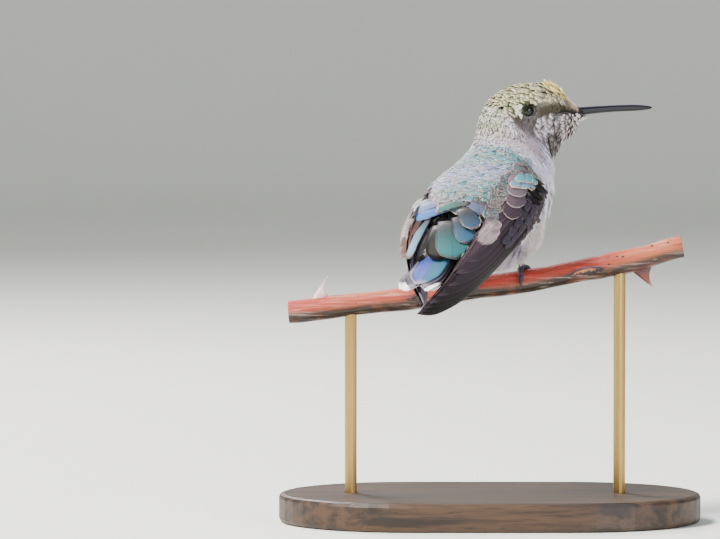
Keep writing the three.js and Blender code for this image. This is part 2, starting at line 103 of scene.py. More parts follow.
def makePiece(name, points, faces, material, maps=None, paint=None, nodes=()):
    # points in the stand's millimetres, faces as index arrays of 3 or 4 columns
    points, faces = faceOut(points, faces)
    loops = np.concatenate([f.ravel() for f in faces]).astype(np.int32)
    sizes = np.concatenate([np.full(len(f), f.shape[1]) for f in faces])
    mesh = bpy.data.meshes.new(name)
    mesh.vertices.add(len(points))
    mesh.vertices.foreach_set("co", (points * mm).ravel())
    mesh.loops.add(len(loops))
    mesh.loops.foreach_set("vertex_index", loops)
    mesh.polygons.add(len(sizes))
    mesh.polygons.foreach_set("loop_start", np.concatenate([[0], np.cumsum(sizes)[:-1]]).astype(np.int32))
    for key, values in (maps or {}).items():
        layer = mesh.uv_layers.new(name=key)
        layer.data.foreach_set("uv", np.asarray(values, float).reshape(-1, 2)[loops].ravel())
    for key, values in (paint or {}).items():
        values = np.asarray(values, float)
        if values.ndim == 2:
            rgba = np.ones((len(points), 4))
            rgba[:, :3] = values
            mesh.attributes.new(key, "FLOAT_COLOR", "POINT").data.foreach_set("color", rgba.ravel())
        else:
            mesh.attributes.new(key, "FLOAT", "POINT").data.foreach_set("value", values)
    mesh.update(calc_edges=True)
    mesh.validate()
    mesh.shade_smooth()
    piece = bpy.data.objects.new(name, mesh)
    bpy.context.scene.collection.objects.link(piece)
    mesh.materials.append(material)
    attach(piece, "root")
    if nodes:
        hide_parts(*nodes)
    print("  piece", name, int((sizes - 2).sum()), "triangles")
    return piece


def gridQuads(g):
    # a quad for each cell of a grid of point numbers
    return np.stack([g[:-1, :-1], g[:-1, 1:], g[1:, 1:], g[1:, :-1]], -1).reshape(-1, 4)


def gridFaces(rows, cols, joinRows=0, joinCols=0):
    # quads over a grid of points; a 1 joins the last row, or the last column, to the first
    g = np.arange(rows * cols).reshape(rows, cols)
    return gridQuads(np.pad(g, ((0, joinRows), (0, joinCols)), mode="wrap"))


def tubePiece(rings):
    # rings of points (rows, cols, 3) closed by a middle point at each end
    rows, cols = rings.shape[:2]
    points = np.concatenate([rings.reshape(-1, 3), rings[:1].mean(1), rings[-1:].mean(1)])
    k = np.arange(cols)
    nxt = (k + 1) % cols
    first = np.stack([np.full(cols, rows * cols), nxt, k], 1)
    last = np.stack([np.full(cols, rows * cols + 1), (rows - 1) * cols + k, (rows - 1) * cols + nxt], 1)
    return points, [gridFaces(rows, cols, joinCols=1), np.concatenate([first, last])]


def joined(blocks):
    # several (points, faces) blocks as one
    points, quads, tris, start = [], [], [], 0
    for p, faces in blocks:
        p, faces = faceOut(p, faces)
        for f in faces:
            (quads if f.shape[1] == 4 else tris).append(f + start)
        points.append(p)
        start += len(p)
    return np.concatenate(points), [np.concatenate(f) for f in (quads, tris) if f]


def sweep(path, radii, cols=12, flat=1.0, help=(0, 0, 1)):
    # a round section carried along a path: middle + radius * (side cos + up sin)
    way = unit(np.gradient(path, axis=0))
    side = unit(np.cross(way, np.broadcast_to(np.array(help, float), way.shape)))
    up = np.cross(side, way)
    a = np.linspace(0, 2 * np.pi, cols, endpoint=False)[None, :, None]
    r = np.asarray(radii, float)[:, None, None]
    return path[:, None] + r * (side[:, None] * np.cos(a) + flat * up[:, None] * np.sin(a))


def feed(node, inputs):
    # each input, by its place or its name, is set to a value or linked from another node's output
    for key, value in inputs.items() if isinstance(inputs, dict) else enumerate(inputs):
        if isinstance(value, bpy.types.NodeSocket):
            node.id_data.links.new(value, node.inputs[key])
        else:
            node.inputs[key].default_value = value


# what two kinds of node always have here: settings, the places of their inputs, and their output
nodeHabits = {"MapRange": (dict(interpolation_type="SMOOTHSTEP"), (0, 1, 2), 0),
              "Mix": (dict(data_type="RGBA"), (0, 6, 7), 2)}


def addNode(tree, kind, inputs=(), out=0, **settings):
    # adds one node with its settings and links, and gives back one of its outputs
    node = tree.nodes.new("ShaderNode" + kind)
    if kind in nodeHabits:
        habits, places, out = nodeHabits[kind]
        settings, inputs = dict(habits, **settings), dict(zip(places, inputs))
    for key, value in settings.items():
        setattr(node, key, value)
    feed(node, inputs)
    return node.outputs[out]


def newMaterial(name, **values):
    # a material with these values on its shader's own sockets
    material = bpy.data.materials.new(name)
    material.use_nodes = True
    shader = material.node_tree.nodes["Principled BSDF"]
    feed(shader, {key.replace("_", " "): value for key, value in values.items()})
    return material, partial(addNode, material.node_tree), shader


def rgba(hexColour):
    # linear red, green, blue and a full alpha
    return (*linear(hexColour), 1.0)


def barbedVane(name, barbs, shaft, rough, metal, edge, barbDepth, sheen, relief=0.55):
    # Keratin vane: barbs run out from the shaft at a slant, so the eye sees fine combed
    # lines; the rim colour closes the tip and sides where the barbs fray
    material, add, shader = newMaterial(name, Roughness=rough, Metallic=metal, Sheen_Weight=sheen,
                                        Sheen_Roughness=0.5, Specular_IOR_Level=0.14)
    u = add("SeparateXYZ", {"Vector": add("UVMap", uv_map="Vane")})
    v = u.node.outputs["Y"]
    tone = add("Attribute", out="Color", attribute_name="tone")
    rim = add("Attribute", out="Color", attribute_name="rim")
    rimWide = add("Attribute", out="Fac", attribute_name="rimWide")
    noise = add("TexNoise", {"Scale": 5200.0, "Detail": 2.0, "Vector": add("TexCoord", out="Object")})
    # across: 0 on the shaft and 1 at either side, |u - 0.5| * 2
    aside = add("Math", (add("Math", (u, 0.5), operation="SUBTRACT"),), operation="ABSOLUTE")
    across = add("Math", (aside, 2.0), operation="MULTIPLY")
    # comb: a wave along the vane that slants with the barbs and wanders with the noise
    lag = add("Math", (across, barbs * 0.22), operation="MULTIPLY")
    slant = add("Math", (add("Math", (v, float(barbs)), operation="MULTIPLY"), lag), operation="SUBTRACT")
    wander = add("Math", (add("Math", (noise, 0.5), operation="SUBTRACT"), 1.6), operation="MULTIPLY")
    turns = add("Math", (add("Math", (slant, wander), operation="ADD"), 2 * math.pi),
                operation="MULTIPLY")
    comb = add("Math", (add("Math", (turns,), operation="SINE"), 0.5, 0.5), operation="MULTIPLY_ADD")
    # fringe: the rim at the tip, ragged by the comb, and along the sides
    reach = add("Math", (1.0, rimWide), operation="SUBTRACT")
    fray = add("Math", (add("Math", (comb, 0.5), operation="SUBTRACT"), 0.10), operation="MULTIPLY")
    past = add("Math", (add("Math", (v, fray), operation="ADD"), reach), operation="SUBTRACT")
    soft = add("Math", (add("Math", (rimWide, 0.6), operation="MULTIPLY"), 0.01), operation="ADD")
    tip = add("Math", (past, soft), operation="DIVIDE", use_clamp=True)
    sideLow = add("MapRange", (v, 0.35, 0.75))
    sideEdge = add("MapRange", (across, 1 - edge * 1.6, 1 - edge * 0.3))
    sides = add("Math", (sideEdge, sideLow), operation="MULTIPLY")
    sides = add("Math", (sides, add("MapRange", (rimWide, 0.0, 0.12))), operation="MULTIPLY")
    fringe = add("Math", (tip, sides), operation="MAXIMUM")
    # colour: grey down at the root, combed with the rim's colour, edged, with a pale shaft
    down = add("Mix", (add("MapRange", (v, 0.55, 0.1)), tone, rgba("#555255")))
    rootward = add("Math", (add("MapRange", (v, 0.4, 0.0)), 0.5), operation="MULTIPLY")
    base = add("Mix", (rootward, tone, down))
    combAmount = add("Math", (comb, barbDepth), operation="MULTIPLY")
    combed = add("Mix", (combAmount, base, add("Mix", (0.55, base, rim))))
    edged = add("Mix", (fringe, combed, rim))
    line = add("MapRange", (across, shaft, shaft * 0.3))
    horn = add("Mix", (1.0, edged, rgba("#ada6a2")), blend_type="MULTIPLY")
    quill = add("Mix", (add("Math", (line, 0.55), operation="MULTIPLY"), edged, horn))
    height = add("Math", (add("Math", (comb, 0.5), operation="MULTIPLY"), line), operation="ADD")
    feed(shader, {"Base Color": quill,
                  "Normal": add("Bump", {"Strength": relief, "Distance": 0.00004, "Height": height})})
    return material


contourVane = barbedVane("contour feather, barbed keratin", barbs=9, shaft=0.05, rough=0.66, metal=0.0,
                         edge=0.22, barbDepth=0.50, sheen=0.12)
gleamVane = barbedVane("iridescent contour feather, barbed keratin", barbs=20, shaft=0.03, rough=0.50,
                       metal=0.12, edge=0.14, barbDepth=0.16, sheen=0.1, relief=0.4)
broadVane = barbedVane("broad iridescent covert, fine barbed keratin", barbs=34, shaft=0.03, rough=0.50,
                       metal=0.12, edge=0.10, barbDepth=0.24, sheen=0.02, relief=0.5)
flightVane = barbedVane("flight feather, close barbed keratin", barbs=60, shaft=0.03, rough=0.55,
                        metal=0.0, edge=0.05, barbDepth=0.08, sheen=0.0, relief=0.4)

# Loose downy barbs: matt keratin threads, lit softly through each other
downy, add, shader = newMaterial("downy barbs, loose keratin threads", Roughness=0.85, Sheen_Weight=0.2,
                                 Sheen_Roughness=0.6, Specular_IOR_Level=0.2, Subsurface_Weight=0.12,
                                 Subsurface_Scale=0.0006)
tone = add("Attribute", out="Color", attribute_name="tone")
noise = add("TexNoise", dict(Scale=1800.0, Detail=3.0, Vector=add("TexCoord", out="Object")))
shade = add("Mix", (add("Math", (add("MapRange", (noise, 0.35, 0.7)), 0.35), operation="MULTIPLY"), tone,
                    rgba("#f3f1f3")), blend_type="SOFT_LIGHT")
feed(shader, {"Base Color": shade})


pose = dict(yaw=59.0, seat=(3.1, 0.0, 51.9), headTurn=-40.0, neckForward=1.5,
            turnStart=4.2, turnEnd=7.2, hem=1.52, hemStep=1.0)

# body sections from the tail's root to the bill's root: forward, up, lean in degrees,
# half breadth, reach to the back, reach to the belly, middle's shift to the right
bodyRows = np.array([
    (-27.8, 4.9, 36, 3.0, 1.2, 1.8, 0.0), (-22.4, 8.6, 34, 5.4, 3.2, 4.4, 0.0),
    (-16.4, 11.9, 34, 9.0, 5.9, 11.0, 0.0), (-10.2, 15.2, 38, 10.9, 7.7, 14.6, -0.1),
    (-4.6, 19.4, 48, 10.2, 7.3, 15.0, 0.6), (-0.8, 24.4, 64, 8.1, 7.3, 12.6, 1.6),
    (1.6, 28.6, 58, 6.8, 7.9, 11.2, 1.2), (3.6, 32.0, 45, 6.5, 7.1, 11.2, 0.5),
    (7.4, 34.2, 30, 6.2, 5.8, 10.0, 0.1), (11.6, 34.6, 16, 4.8, 4.4, 7.6, 0.0),
    (15.4, 33.7, 2, 2.6, 1.9, 4.6, 0.0), (17.8, 33.2, 0, 1.0, 0.8, 1.6, 0.0)])
bodyEnd = len(bodyRows) - 1.0


def turned(p, share):
    # the head's turn about the neck's upright line
    a = np.radians(pose["headTurn"]) * share
    x, y = p[..., 0] - pose["neckForward"], p[..., 1]
    return np.stack([pose["neckForward"] + x * np.cos(a) - y * np.sin(a),
                     x * np.sin(a) + y * np.cos(a), p[..., 2]], -1)


def seated(p):
    # the bird's frame to the stand's: turn by the heading, then lift onto the cane
    a = np.radians(pose["yaw"])
    p = np.asarray(p, float)
    return (np.stack([p[..., 0] * np.cos(a) - p[..., 1] * np.sin(a),
                      p[..., 0] * np.sin(a) + p[..., 1] * np.cos(a), p[..., 2]], -1)
                      + np.array(pose["seat"]))


def bodyGround(s, t, grow=0.0):
    # middle(s) + up(lean) * reach * cos t + left * half * sin t, each reach let out by grow
    s, t, grow = even(s, t, grow)
    s = np.clip(s, 0, bodyEnd)
    f, z, lean, half, back, belly, right = np.moveaxis(alongRows(bodyRows, s), -1, 0)
    over, across, lean = np.cos(t), np.sin(t), np.radians(lean)
    mantle = (pose["hemStep"] * ease(pose["hem"] - 0.13, pose["hem"] + 0.12, s)
              * (1 - ease(pose["hem"] + 0.5, 5, s)) * ease(-0.3, 0.3, over))
    reach = (np.where(over > 0, back, belly) + mantle + grow) * over
    p = np.stack([f - np.sin(lean) * reach, -right + (half + 0.7 * mantle + grow) * across,
                  z + np.cos(lean) * reach], -1)
    return turned(p, ease(pose["turnStart"], pose["turnEnd"], s))


def groundScale(ground, a, b):
    # millimetres per unit of each parameter
    e = 0.01
    da = np.linalg.norm(ground(a + e, b, 0.0) - ground(a - e, b, 0.0), axis=-1) / (2 * e)
    db = np.linalg.norm(ground(a, b + e, 0.0) - ground(a, b - e, 0.0), axis=-1) / (2 * e)
    return np.maximum(da, 0.4), np.maximum(db, 0.4)


plumage = {name: linear(c) for name, c in dict(
    crown="#58633e", crownRim="#cec4a2", pollen="#ffe180", pollenRim="#fff3af", brow="#9a8f78",
    foot="#f1d0b6", lore="#544c32", green="#6d7c49", cheek="#45392b", ear="#635b5b", malar="#938b90",
    neck="#b3a8b2", nape="#898d6d", breast="#e0dbef", throat="#4b443e", spot="#1b1814", chin="#e6d7c4",
    horn="#141217", lit="#efe6ea", throatRim="#7c746d", backTeal="#4b8f9b", backBlue="#85a1cd",
    backGreen="#407d70", backRim="#c2b4b2", backDusk="#505f62", flank="#cec5cc", buff="#b0a092",
    belly="#e0d9e1", rump="#5c6f78").items()}


def laid(colour, layers):
    # named colours laid one over another: colour + (next - colour) * its mask, for each in turn
    for name, mask in layers:
        over = plumage[name] if isinstance(name, str) else name
        colour = mix(colour, over, np.clip(mask, 0, 1)[..., None])
    return colour


def markings(s, t):
    # base and rim colours over the body from smooth masks of station s and angle from the back
    a = degrees(t)
    side = mix(66.0, 80.0, ease(4.0, 2.0, s))  # where the back's colour ends
    back = (1 - ease(side - 8, side + 6, a)) * (1 - ease(4.35, 5.0, s - 0.25 * ease(50, 20, a)))
    lit = 0.45 * back * ease(12, 50, np.degrees(t))  # the side the light pales
    throat = ease(5.6, 6.6, s) * ease(104, 122, a)
    ear = ease(5.7, 6.3, s) * ease(50, 64, a) * (1 - ease(100, 116, a))
    crown = ease(6.0, 6.8, s)
    pollen = ease(8.55, 8.95, s) * (1 - ease(9.6, 9.9, s)) * (1 - ease(44, 62, a))
    shine = laid(plumage["backTeal"], [
        ("backBlue", 0.8 * ease(-0.5, 0.7, np.sin(s * 2.6 + np.sign(t) * a * 0.03)) * ease(4.6, 3.4, s)),
        ("backGreen", 0.6 * ease(2.6, 1.8, s)),
        ("backDusk", 0.45 * ease(30, 65, a)),
        ("rump", ease(1.5, 1.3, s))])
    tone = laid(plumage["breast"], [
        ("flank", ease(3.4, 1.2, s)),
        ("buff", 0.30 * ease(2.6, 0.6, s) * ease(80, 100, a) * (1 - ease(125, 150, a))),
        (shine, back),
        ("lit", lit),
        ("neck", ease(4.4, 5.2, s) * (1 - ease(90, 120, a))),
        ("nape", ease(4.9, 5.7, s) * (1 - ease(28, 52, a))),
        ("green", 0.75 * ease(5.3, 5.8, s) * (1 - ease(6.5, 7.1, s)) * (1 - ease(26, 52, a))),
        ("throat", throat),
        ("ear", 0.9 * ear),
        ("cheek", 0.9 * ear * (1 - ease(70, 90, a)) * (1 - ease(7.4, 7.9, s))),
        ("malar", ease(7.0, 7.3, s) * (1 - ease(7.9, 8.4, s)) * ease(96, 104, a)
         * (1 - ease(118, 128, a))),
        ("crown", crown * (1 - ease(56, 72, a))),
        ("chin", 0.75 * ease(7.7, 9.2, s) * ease(98, 110, a)),
        ("brow", 0.75 * ease(7.6, 8.2, s) * ease(40, 62, a) * (1 - ease(84, 96, a))),
        ("pollen", 0.85 * pollen),
        ("foot", 0.85 * ease(9.4, 9.8, s) * (1 - ease(74, 90, a))),
        ("lore", 0.95 * ease(7.35, 7.7, s) * (1 - ease(9.6, 10.1, s)) * ease(80, 86, a)
         * (1 - ease(96, 102, a))),
        ("horn", ease(10.30, 10.42, s))])
    rim = laid(plumage["belly"], [
        ("backRim", back),
        ("lit", lit),
        ("throatRim", 0.85 * throat * (1 - ease(8.1, 8.7, s))),
        ("crownRim", crown * (1 - ease(88, 96, a))),
        ("pollenRim", pollen)])
    return tone, rim


def leafFaces(rows, cols):
    # an upper and a lower sheet that share their rim
    top = np.arange(rows * cols).reshape(rows, cols)
    low = top.copy()
    low[1:-1, 1:-1] = rows * cols + np.arange((rows - 2) * (cols - 2)).reshape(rows - 2, cols - 2)
    return np.concatenate([gridQuads(top), gridQuads(low)[:, ::-1]])


def repeatFaces(faces, count, stride):
    # the same faces for each of a count of blocks, their points a stride apart
    return (faces[None] + (np.arange(count) * stride)[:, None, None]).reshape(-1, faces.shape[1])


settle = 0.35  # how much of its standing angle a feather has lost at its tip


def perFeather(form, n, dims):
    # reads a setting that may be one number or one for each feather
    shape = (n,) + (1,) * dims
    spread = lambda value: np.broadcast_to(np.asarray(value, float), (n,)).reshape(shape)
    return lambda key, default=0.0: spread(form.get(key, default))


def vaneShape(form, n):
    # a vane in its own plane: x = half breadth * u * outline(v), y = length * v less a rounded
    # tip, and h rising from the root's depth to the tip's lift, arched over the middle
    rows, cols = form["rows"], form["cols"]
    each = perFeather(form, n, 2)
    u = np.linspace(-1, 1, cols)[None, None, :]
    v = np.linspace(0, 1, rows)[None, :, None]
    long, wide, point = each("long"), each("wide"), each("point")
    outline = mix(form.get("neck", 0.45), 1.0, ease(0, 0.5, v)) * (1 - point * ease(0.45, 1.0, v))
    fray = chance.random((n, 1, cols)) * each("fray", 0.08) * ease(0.5, 1, v)
    x = wide / 2 * u * outline
    rounding = wide / 2 * form.get("round", 0.9) * (1 - np.sqrt(1 - 0.97 * u * u))
    y = long * v * (1 - fray) - rounding * v * v
    stand = np.radians(each("erect")) * (1 - settle * v)
    rough = (chance.random((n, rows, cols)) - 0.5) * each("wave", 0.06)
    h = (-each("sink") - each("root", 0.7) * (1 - v) ** 1.3 + each("lift", 0.15) * v ** 1.6
         + each("arch", 0.12) * (1 - u * u) + rough * v + each("curl") * np.clip(v - 0.5, 0, 1) ** 2 * 4
         + each("tilt") * u * v + y * np.sin(stand))
    thick = each("thick", 0.07) * (1 - u * u)
    vane = np.stack(np.broadcast_arrays(u * 0.5 + 0.5, v), -1)[0]
    vane = bothSheets(vane, vane)
    return x, y * np.cos(stand), h, thick, vane


def skinPlace(a, b):
    # a root's place on the unwrap: round the body, then along it, each from 0 to 1
    return np.stack([(b / (2 * np.pi)) % 1.0, a / bodyEnd], -1)


def bothSheets(top, low):
    # all points of the upper sheet, then the lower sheet's points inside the rim they share
    flat = lambda sheet: sheet.reshape(*sheet.shape[:-3], -1, sheet.shape[-1])
    return np.concatenate([flat(top), flat(low[..., 1:-1, 1:-1, :])], -2)


def block(points, faces, vane, place, caps=None):
    # feathers of one make; each keeps to a small patch of the unwrap round its root's place
    n = len(points)
    return dict(points=points, faces=faces, vane=np.broadcast_to(vane, (n,) + vane.shape), caps=caps,
                bake=0.002 + 0.996 * place[:, None] + (vane[None] - 0.5) * 0.003)


def leaves(ground, a, b, form, flow=-1.0, place=None):
    # one vane for each root (a, b), turned by its lie and laid along the ground
    n = len(a)
    x, y, h, thick, vane = vaneShape(form, n)
    lie = perFeather(form, n, 2)("lie")
    sa, sb = (g[:, None, None] for g in form.get("scale", groundScale(ground, a, b)))
    ga = a[:, None, None] + flow * (np.cos(lie) * y - np.sin(lie) * x) / sa
    gb = b[:, None, None] + (np.sin(lie) * y + np.cos(lie) * x) / sb
    points = bothSheets(ground(ga, gb, h), ground(ga, gb, h - thick))
    faces = repeatFaces(leafFaces(form["rows"], form["cols"]), n, points.shape[1])
    return block(points, faces, vane, skinPlace(a, b) if place is None else place)


def freeVanes(base, tip, normal, form, place):
    # vanes drawn straight from base to tip and bowed along the normal, where they span a gap
    base, tip, normal = (np.asarray(p, float) for p in (base, tip, normal))
    n = len(base)
    way = tip - base
    form = dict(form, long=np.linalg.norm(way, axis=1))
    x, y, h, thick, vane = vaneShape(form, n)
    d = unit(way)
    side = unit(np.cross(d, normal))
    up = np.cross(side, d)
    share = y / form["long"][:, None, None]
    h = h + perFeather(form, n, 2)("bow") * 4 * share * (1 - share)
    at = lambda hh: (base[:, None, None] + d[:, None, None] * y[..., None]
                     + side[:, None, None] * x[..., None] + up[:, None, None] * hh[..., None])
    points = bothSheets(at(h), at(h - thick))
    faces = repeatFaces(leafFaces(form["rows"], form["cols"]), n, points.shape[1])
    return block(points, faces, vane, np.asarray(place, float))


def barbs(ground, a, b, form, flow=-1.0, place=None):
    # one tuft for each root: a fan of thin pointed blades of three-sided section,
    # x = sin(fan) * y + sway, half width falling to a point, rising from root depth to lift
    n, rows, blades = len(a), form["rows"], form["blades"]
    v = np.linspace(0, 1, rows)[None, None, :, None]
    each = perFeather(form, n, 3)
    fan = np.linspace(-1, 1, blades)[None, :, None, None]
    ragged = chance.random((n, blades, 1, 1))
    jog = chance.normal(size=(n, blades, 1, 1))
    long = each("long") * mix(0.65, 1.0, ragged) * (1 - 0.18 * fan ** 2)
    angle = each("spread", 0.35) * fan + 0.08 * jog
    half = each("width", 0.16) / 2 * (1 - 0.93 * v ** 1.7)
    corner = np.array([-1.0, 0.0, 1.0])
    ridge = np.array([0.0, 0.8, 0.0])
    stand = np.radians(each("erect")) * (1 - settle * v)
    run = long * v * np.cos(stand)
    y = run * np.cos(angle) + 0 * corner
    x = (each("breadth", 0.5) * fan * 0.5 + np.sin(angle) * run + 0.06 * jog * np.sin(v * 5)
         + half * corner)
    lift = each("lift", 0.1) * (0.5 + chance.random((n, blades, 1, 1)))
    h = (-each("sink") - each("root", 0.8) * (1 - v) ** 1.2 + lift * v ** 1.5 + half * 2 * ridge
         + long * v * np.sin(stand) + each("curl") * np.clip(v - 0.5, 0, 1) ** 2 * 4)
    lie = each("lie")
    sa, sb = (g[:, None, None, None] for g in groundScale(ground, a, b))
    ga = a[:, None, None, None] + flow * (np.cos(lie) * y - np.sin(lie) * x) / sa
    gb = b[:, None, None, None] + (np.sin(lie) * y + np.cos(lie) * x) / sb
    points = ground(ga, gb, h).reshape(n, -1, 3)
    sides = gridFaces(rows, 3, joinCols=1)
    ends = np.array([[2, 1, 0], [rows * 3 - 3, rows * 3 - 2, rows * 3 - 1]])
    vane = np.stack(np.broadcast_arrays((fan + 1) / 2 + 0 * corner, v + 0 * corner), -1).reshape(-1, 2)
    return block(points, repeatFaces(sides, n * blades, rows * 3), vane,
                 skinPlace(a, b) if place is None else place, repeatFaces(ends, n * blades, rows * 3))


def coatPiece(name, parts, tone, rim=None, rimWide=0, material=downy, nodes=(), slot=None, rootShade=0.55,
              fade=0.7):
    # tone, rim and rim width are per feather; each feather darkens towards its root
    n, m = parts["points"].shape[:2]
    shade = mix(rootShade, 1.0, ease(0.0, fade, parts["vane"][..., 1])) * parts.get("shade", 1.0)
    paint = {"tone": np.clip(tone[:, None] * shade[..., None], 0, 1).reshape(-1, 3)}
    if rim is not None:
        paint["rim"] = np.broadcast_to(rim[:, None], (n, m, 3)).reshape(-1, 3)
        paint["rimWide"] = np.repeat(np.broadcast_to(np.asarray(rimWide, float), (n,)), m)
    faces = [parts["faces"]] + ([parts["caps"]] if parts["caps"] is not None else [])
    return makePiece(name, seated(parts["points"]), faces, material,
                     {"Vane": parts["vane"], "OFBake": parts["bake"]}, paint, nodes)


def stack(*parts):
    # several blocks of the same make as one
    points = np.concatenate([p["points"] for p in parts])
    starts = np.cumsum([0] + [p["points"].shape[0] * p["points"].shape[1] for p in parts[:-1]])
    faces = np.concatenate([faceOut(p["points"], [p["faces"]])[1][0] + k for p, k in zip(parts, starts)])
    return dict(points=points, faces=faces, caps=None, vane=np.concatenate([p["vane"] for p in parts]),
                bake=np.concatenate([p["bake"] for p in parts]),
                shade=np.concatenate([p.get("shade", np.ones(p["points"].shape[:2])) for p in parts]))


def vary(colour, amount=0.08, hue=0.03):
    # each feather a little lighter or darker and warmer or cooler than its neighbours
    n = len(colour)
    return np.clip(colour * (1 + amount * chance.normal(size=(n, 1)))
                   * (1 + hue * chance.normal(size=(n, 3))), 0, 1)


def rootRows(ground, aStart, aEnd, rowGap, colGap, bStart=-np.pi, bEnd=np.pi):
    # rows of roots across the lie, staggered, thinned where the rows crowd; each root strays from
    # its place by a normal step of the scatter times the gap
    scatter = 0.22
    outA, outB, odd = [], [], 0
    a, step = aStart, np.sign(aEnd - aStart)
    while (aEnd - a) * step > 0:
        b = np.linspace(bStart, bEnd, 241)
        p = ground(np.full_like(b, a), b, 0.0)
        run = np.concatenate([[0], np.cumsum(np.linalg.norm(np.diff(p, axis=0), axis=1))])
        sa = groundScale(ground, np.full_like(b, a), b)[0]
        count = max(2, int(run[-1] / colGap))
        at = (np.arange(count) + 0.25 + 0.5 * odd) / count * run[-1]
        at = np.clip(at + chance.normal(size=count) * colGap * scatter, 0, run[-1])
        bb = np.interp(at, run, b)
        local = np.interp(bb, b, sa)
        keep = chance.random(count) < local / sa.max() * 1.02
        outB.append(bb[keep])
        outA.append(a + step * chance.normal(size=keep.sum()) * rowGap * scatter / local[keep])
        a += step * rowGap / sa.max()
        odd = 1 - odd
    return np.concatenate(outA), np.concatenate(outB)


def degrees(t):
    # angle from the line of the back, 0 to 180 on either side
    return np.degrees(np.abs((t + np.pi) % (2 * np.pi) - np.pi))


def between(low, high, each):
    # one even random number for each root, or for each of a count
    return chance.uniform(low, high, len(each) if np.ndim(each) else each)


def astray(size, each):
    # random numbers about 0, as far off it as the size, one for each root or each of a count
    return size * chance.normal(size=len(each) if np.ndim(each) else each)


def tiled(hexColour, count):
    # the same colour for each of a count
    return np.tile(linear(hexColour), (count, 1))


def field(name, span, gaps, form, keep, material=contourVane, rimWide=0.2, slot="trunk", amount=0.08,
          recolour=None, rootShade=0.75, fade=0.7):
    # feathers over the body between two stations, in rows, coloured by the markings under their
    # tips; a form with blades gives barbs and any other gives vanes
    a, b = rootRows(bodyGround, span[0], span[1], gaps[0], gaps[1])
    kept = keep(a, b)
    a, b = a[kept], b[kept]
    form = form(a, b)
    towardsTip = 0.6 * np.broadcast_to(form["long"], a.shape) / groundScale(bodyGround, a, b)[0]
    tone, rim = markings(a - towardsTip, b)
    if recolour:
        tone, rim = recolour(a, b, tone, rim)
    rimWide = rimWide * (0.8 + 0.4 * chance.random(len(a)))
    look = dict(slot=slot, rootShade=rootShade, fade=fade)
    if "blades" in form:
        return coatPiece(name, barbs(bodyGround, a, b, form), vary(tone, amount), **look)
    return coatPiece(name, leaves(bodyGround, a, b, form), vary(tone, amount), vary(rim, 0.05, 0.02),
                     rimWide, material, **look)


def towardsRim(low, high):
    # a recolour that mixes each feather's rim: tone + (rim - tone) * a random share
    return lambda a, b, tone, rim: (tone, mix(tone, rim, chance.uniform(low, high, (len(a), 1))))


eye = dict(radius=1.75, forward=3.5, out=4.9, up=33.8, opening=44.0)


def eyeCentre(side):
    # the eye's middle, set into the turned head
    return turned(np.array([eye["forward"], -side * eye["out"], eye["up"]]), 1.0)


def eyeAxis(side):
    # the way the eye looks out: a fixed direction in the head, turned with it
    ahead = np.array([pose["neckForward"], 0, 0])
    return turned(unit(np.array([0.16, -side, 0.10])) + ahead, 1.0) - ahead


def clearOfEyes(a, b, gap, long):
    # true where neither the root nor the rest of a feather this long comes within the gap of an eye's
    # axis
    clear = np.ones(np.shape(a), bool)
    sa = groundScale(bodyGround, a, b)[0]
    for part in (0.0, 0.4, 0.7, 1.0):
        p = bodyGround(a - part * long / sa, b)
        for side in (1, -1):
            away = p - eyeCentre(side)
            reach = (away * eyeAxis(side)).sum(-1)
            aside = np.linalg.norm(away - reach[..., None] * eyeAxis(side), axis=-1)
            clear &= (aside > gap) | (reach < 0)
    return clear


thigh = {"steps": [(-6.0, 5.4, 13.5, 3.4, 4.2), (-3.4, 6.0, 10.6, 3.9, 5.0), (-1.4, 5.6, 7.6, 3.4, 4.2)]}
footAlong = {1: 4.1, -1: -5.0}  # each foot from the seat, along the cane
caneRows = np.array([(-42, 43.7), (-30.2, 45.1), (-20.8, 46.1), (-15, 46.8), (-3.4, 48.7),
                     (8.3, 50.3), (22.9, 53.1), (31.3, 54.9), (40, 57.4)], float)
caneRadius = 2.35


def caneAt(x):
    # middle line of the cane over x, by the smooth curve through its rows
    x = np.asarray(x, float)
    i = np.clip(np.searchsorted(caneRows[:, 0], x, side="right") - 1, 0, len(caneRows) - 2)
    part = (x - caneRows[i, 0]) / (caneRows[i + 1, 0] - caneRows[i, 0])
    return np.stack([x, 0 * x, alongRows(caneRows, i + part)[..., 1]], -1)


def aroundCane(x, angle, out):
    # a point beside the cane, by angle from its top towards the back and distance from its middle
    x, angle, out = even(x, angle, out)
    inner = np.clip(x, -41, 39)
    way = unit(caneAt(inner + 0.5) - caneAt(inner - 0.5))
    rise = np.stack([-way[..., 2], 0 * x, way[..., 0]], -1)
    side = np.broadcast_to(np.array([0.0, 1.0, 0.0]), rise.shape)
    return caneAt(x) + rise * (np.cos(angle) * out)[..., None] + side * (np.sin(angle) * out)[..., None]


def unseated(p):
    # from the stand's frame back to the bird's, the reverse of seated
    a = -np.radians(pose["yaw"])
    q = np.asarray(p, float) - np.array(pose["seat"])
    return np.stack([q[..., 0] * np.cos(a) - q[..., 1] * np.sin(a),
                     q[..., 0] * np.sin(a) + q[..., 1] * np.cos(a), q[..., 2]], -1)


toeSize = dict(radius=0.5, tarsus=4.4, shank=0.62)


def ankle(side):
    # the middle of the foot, on top of the cane
    return aroundCane(pose["seat"][0] + footAlong[side], 0.0, caneRadius + 0.2 + toeSize["radius"])


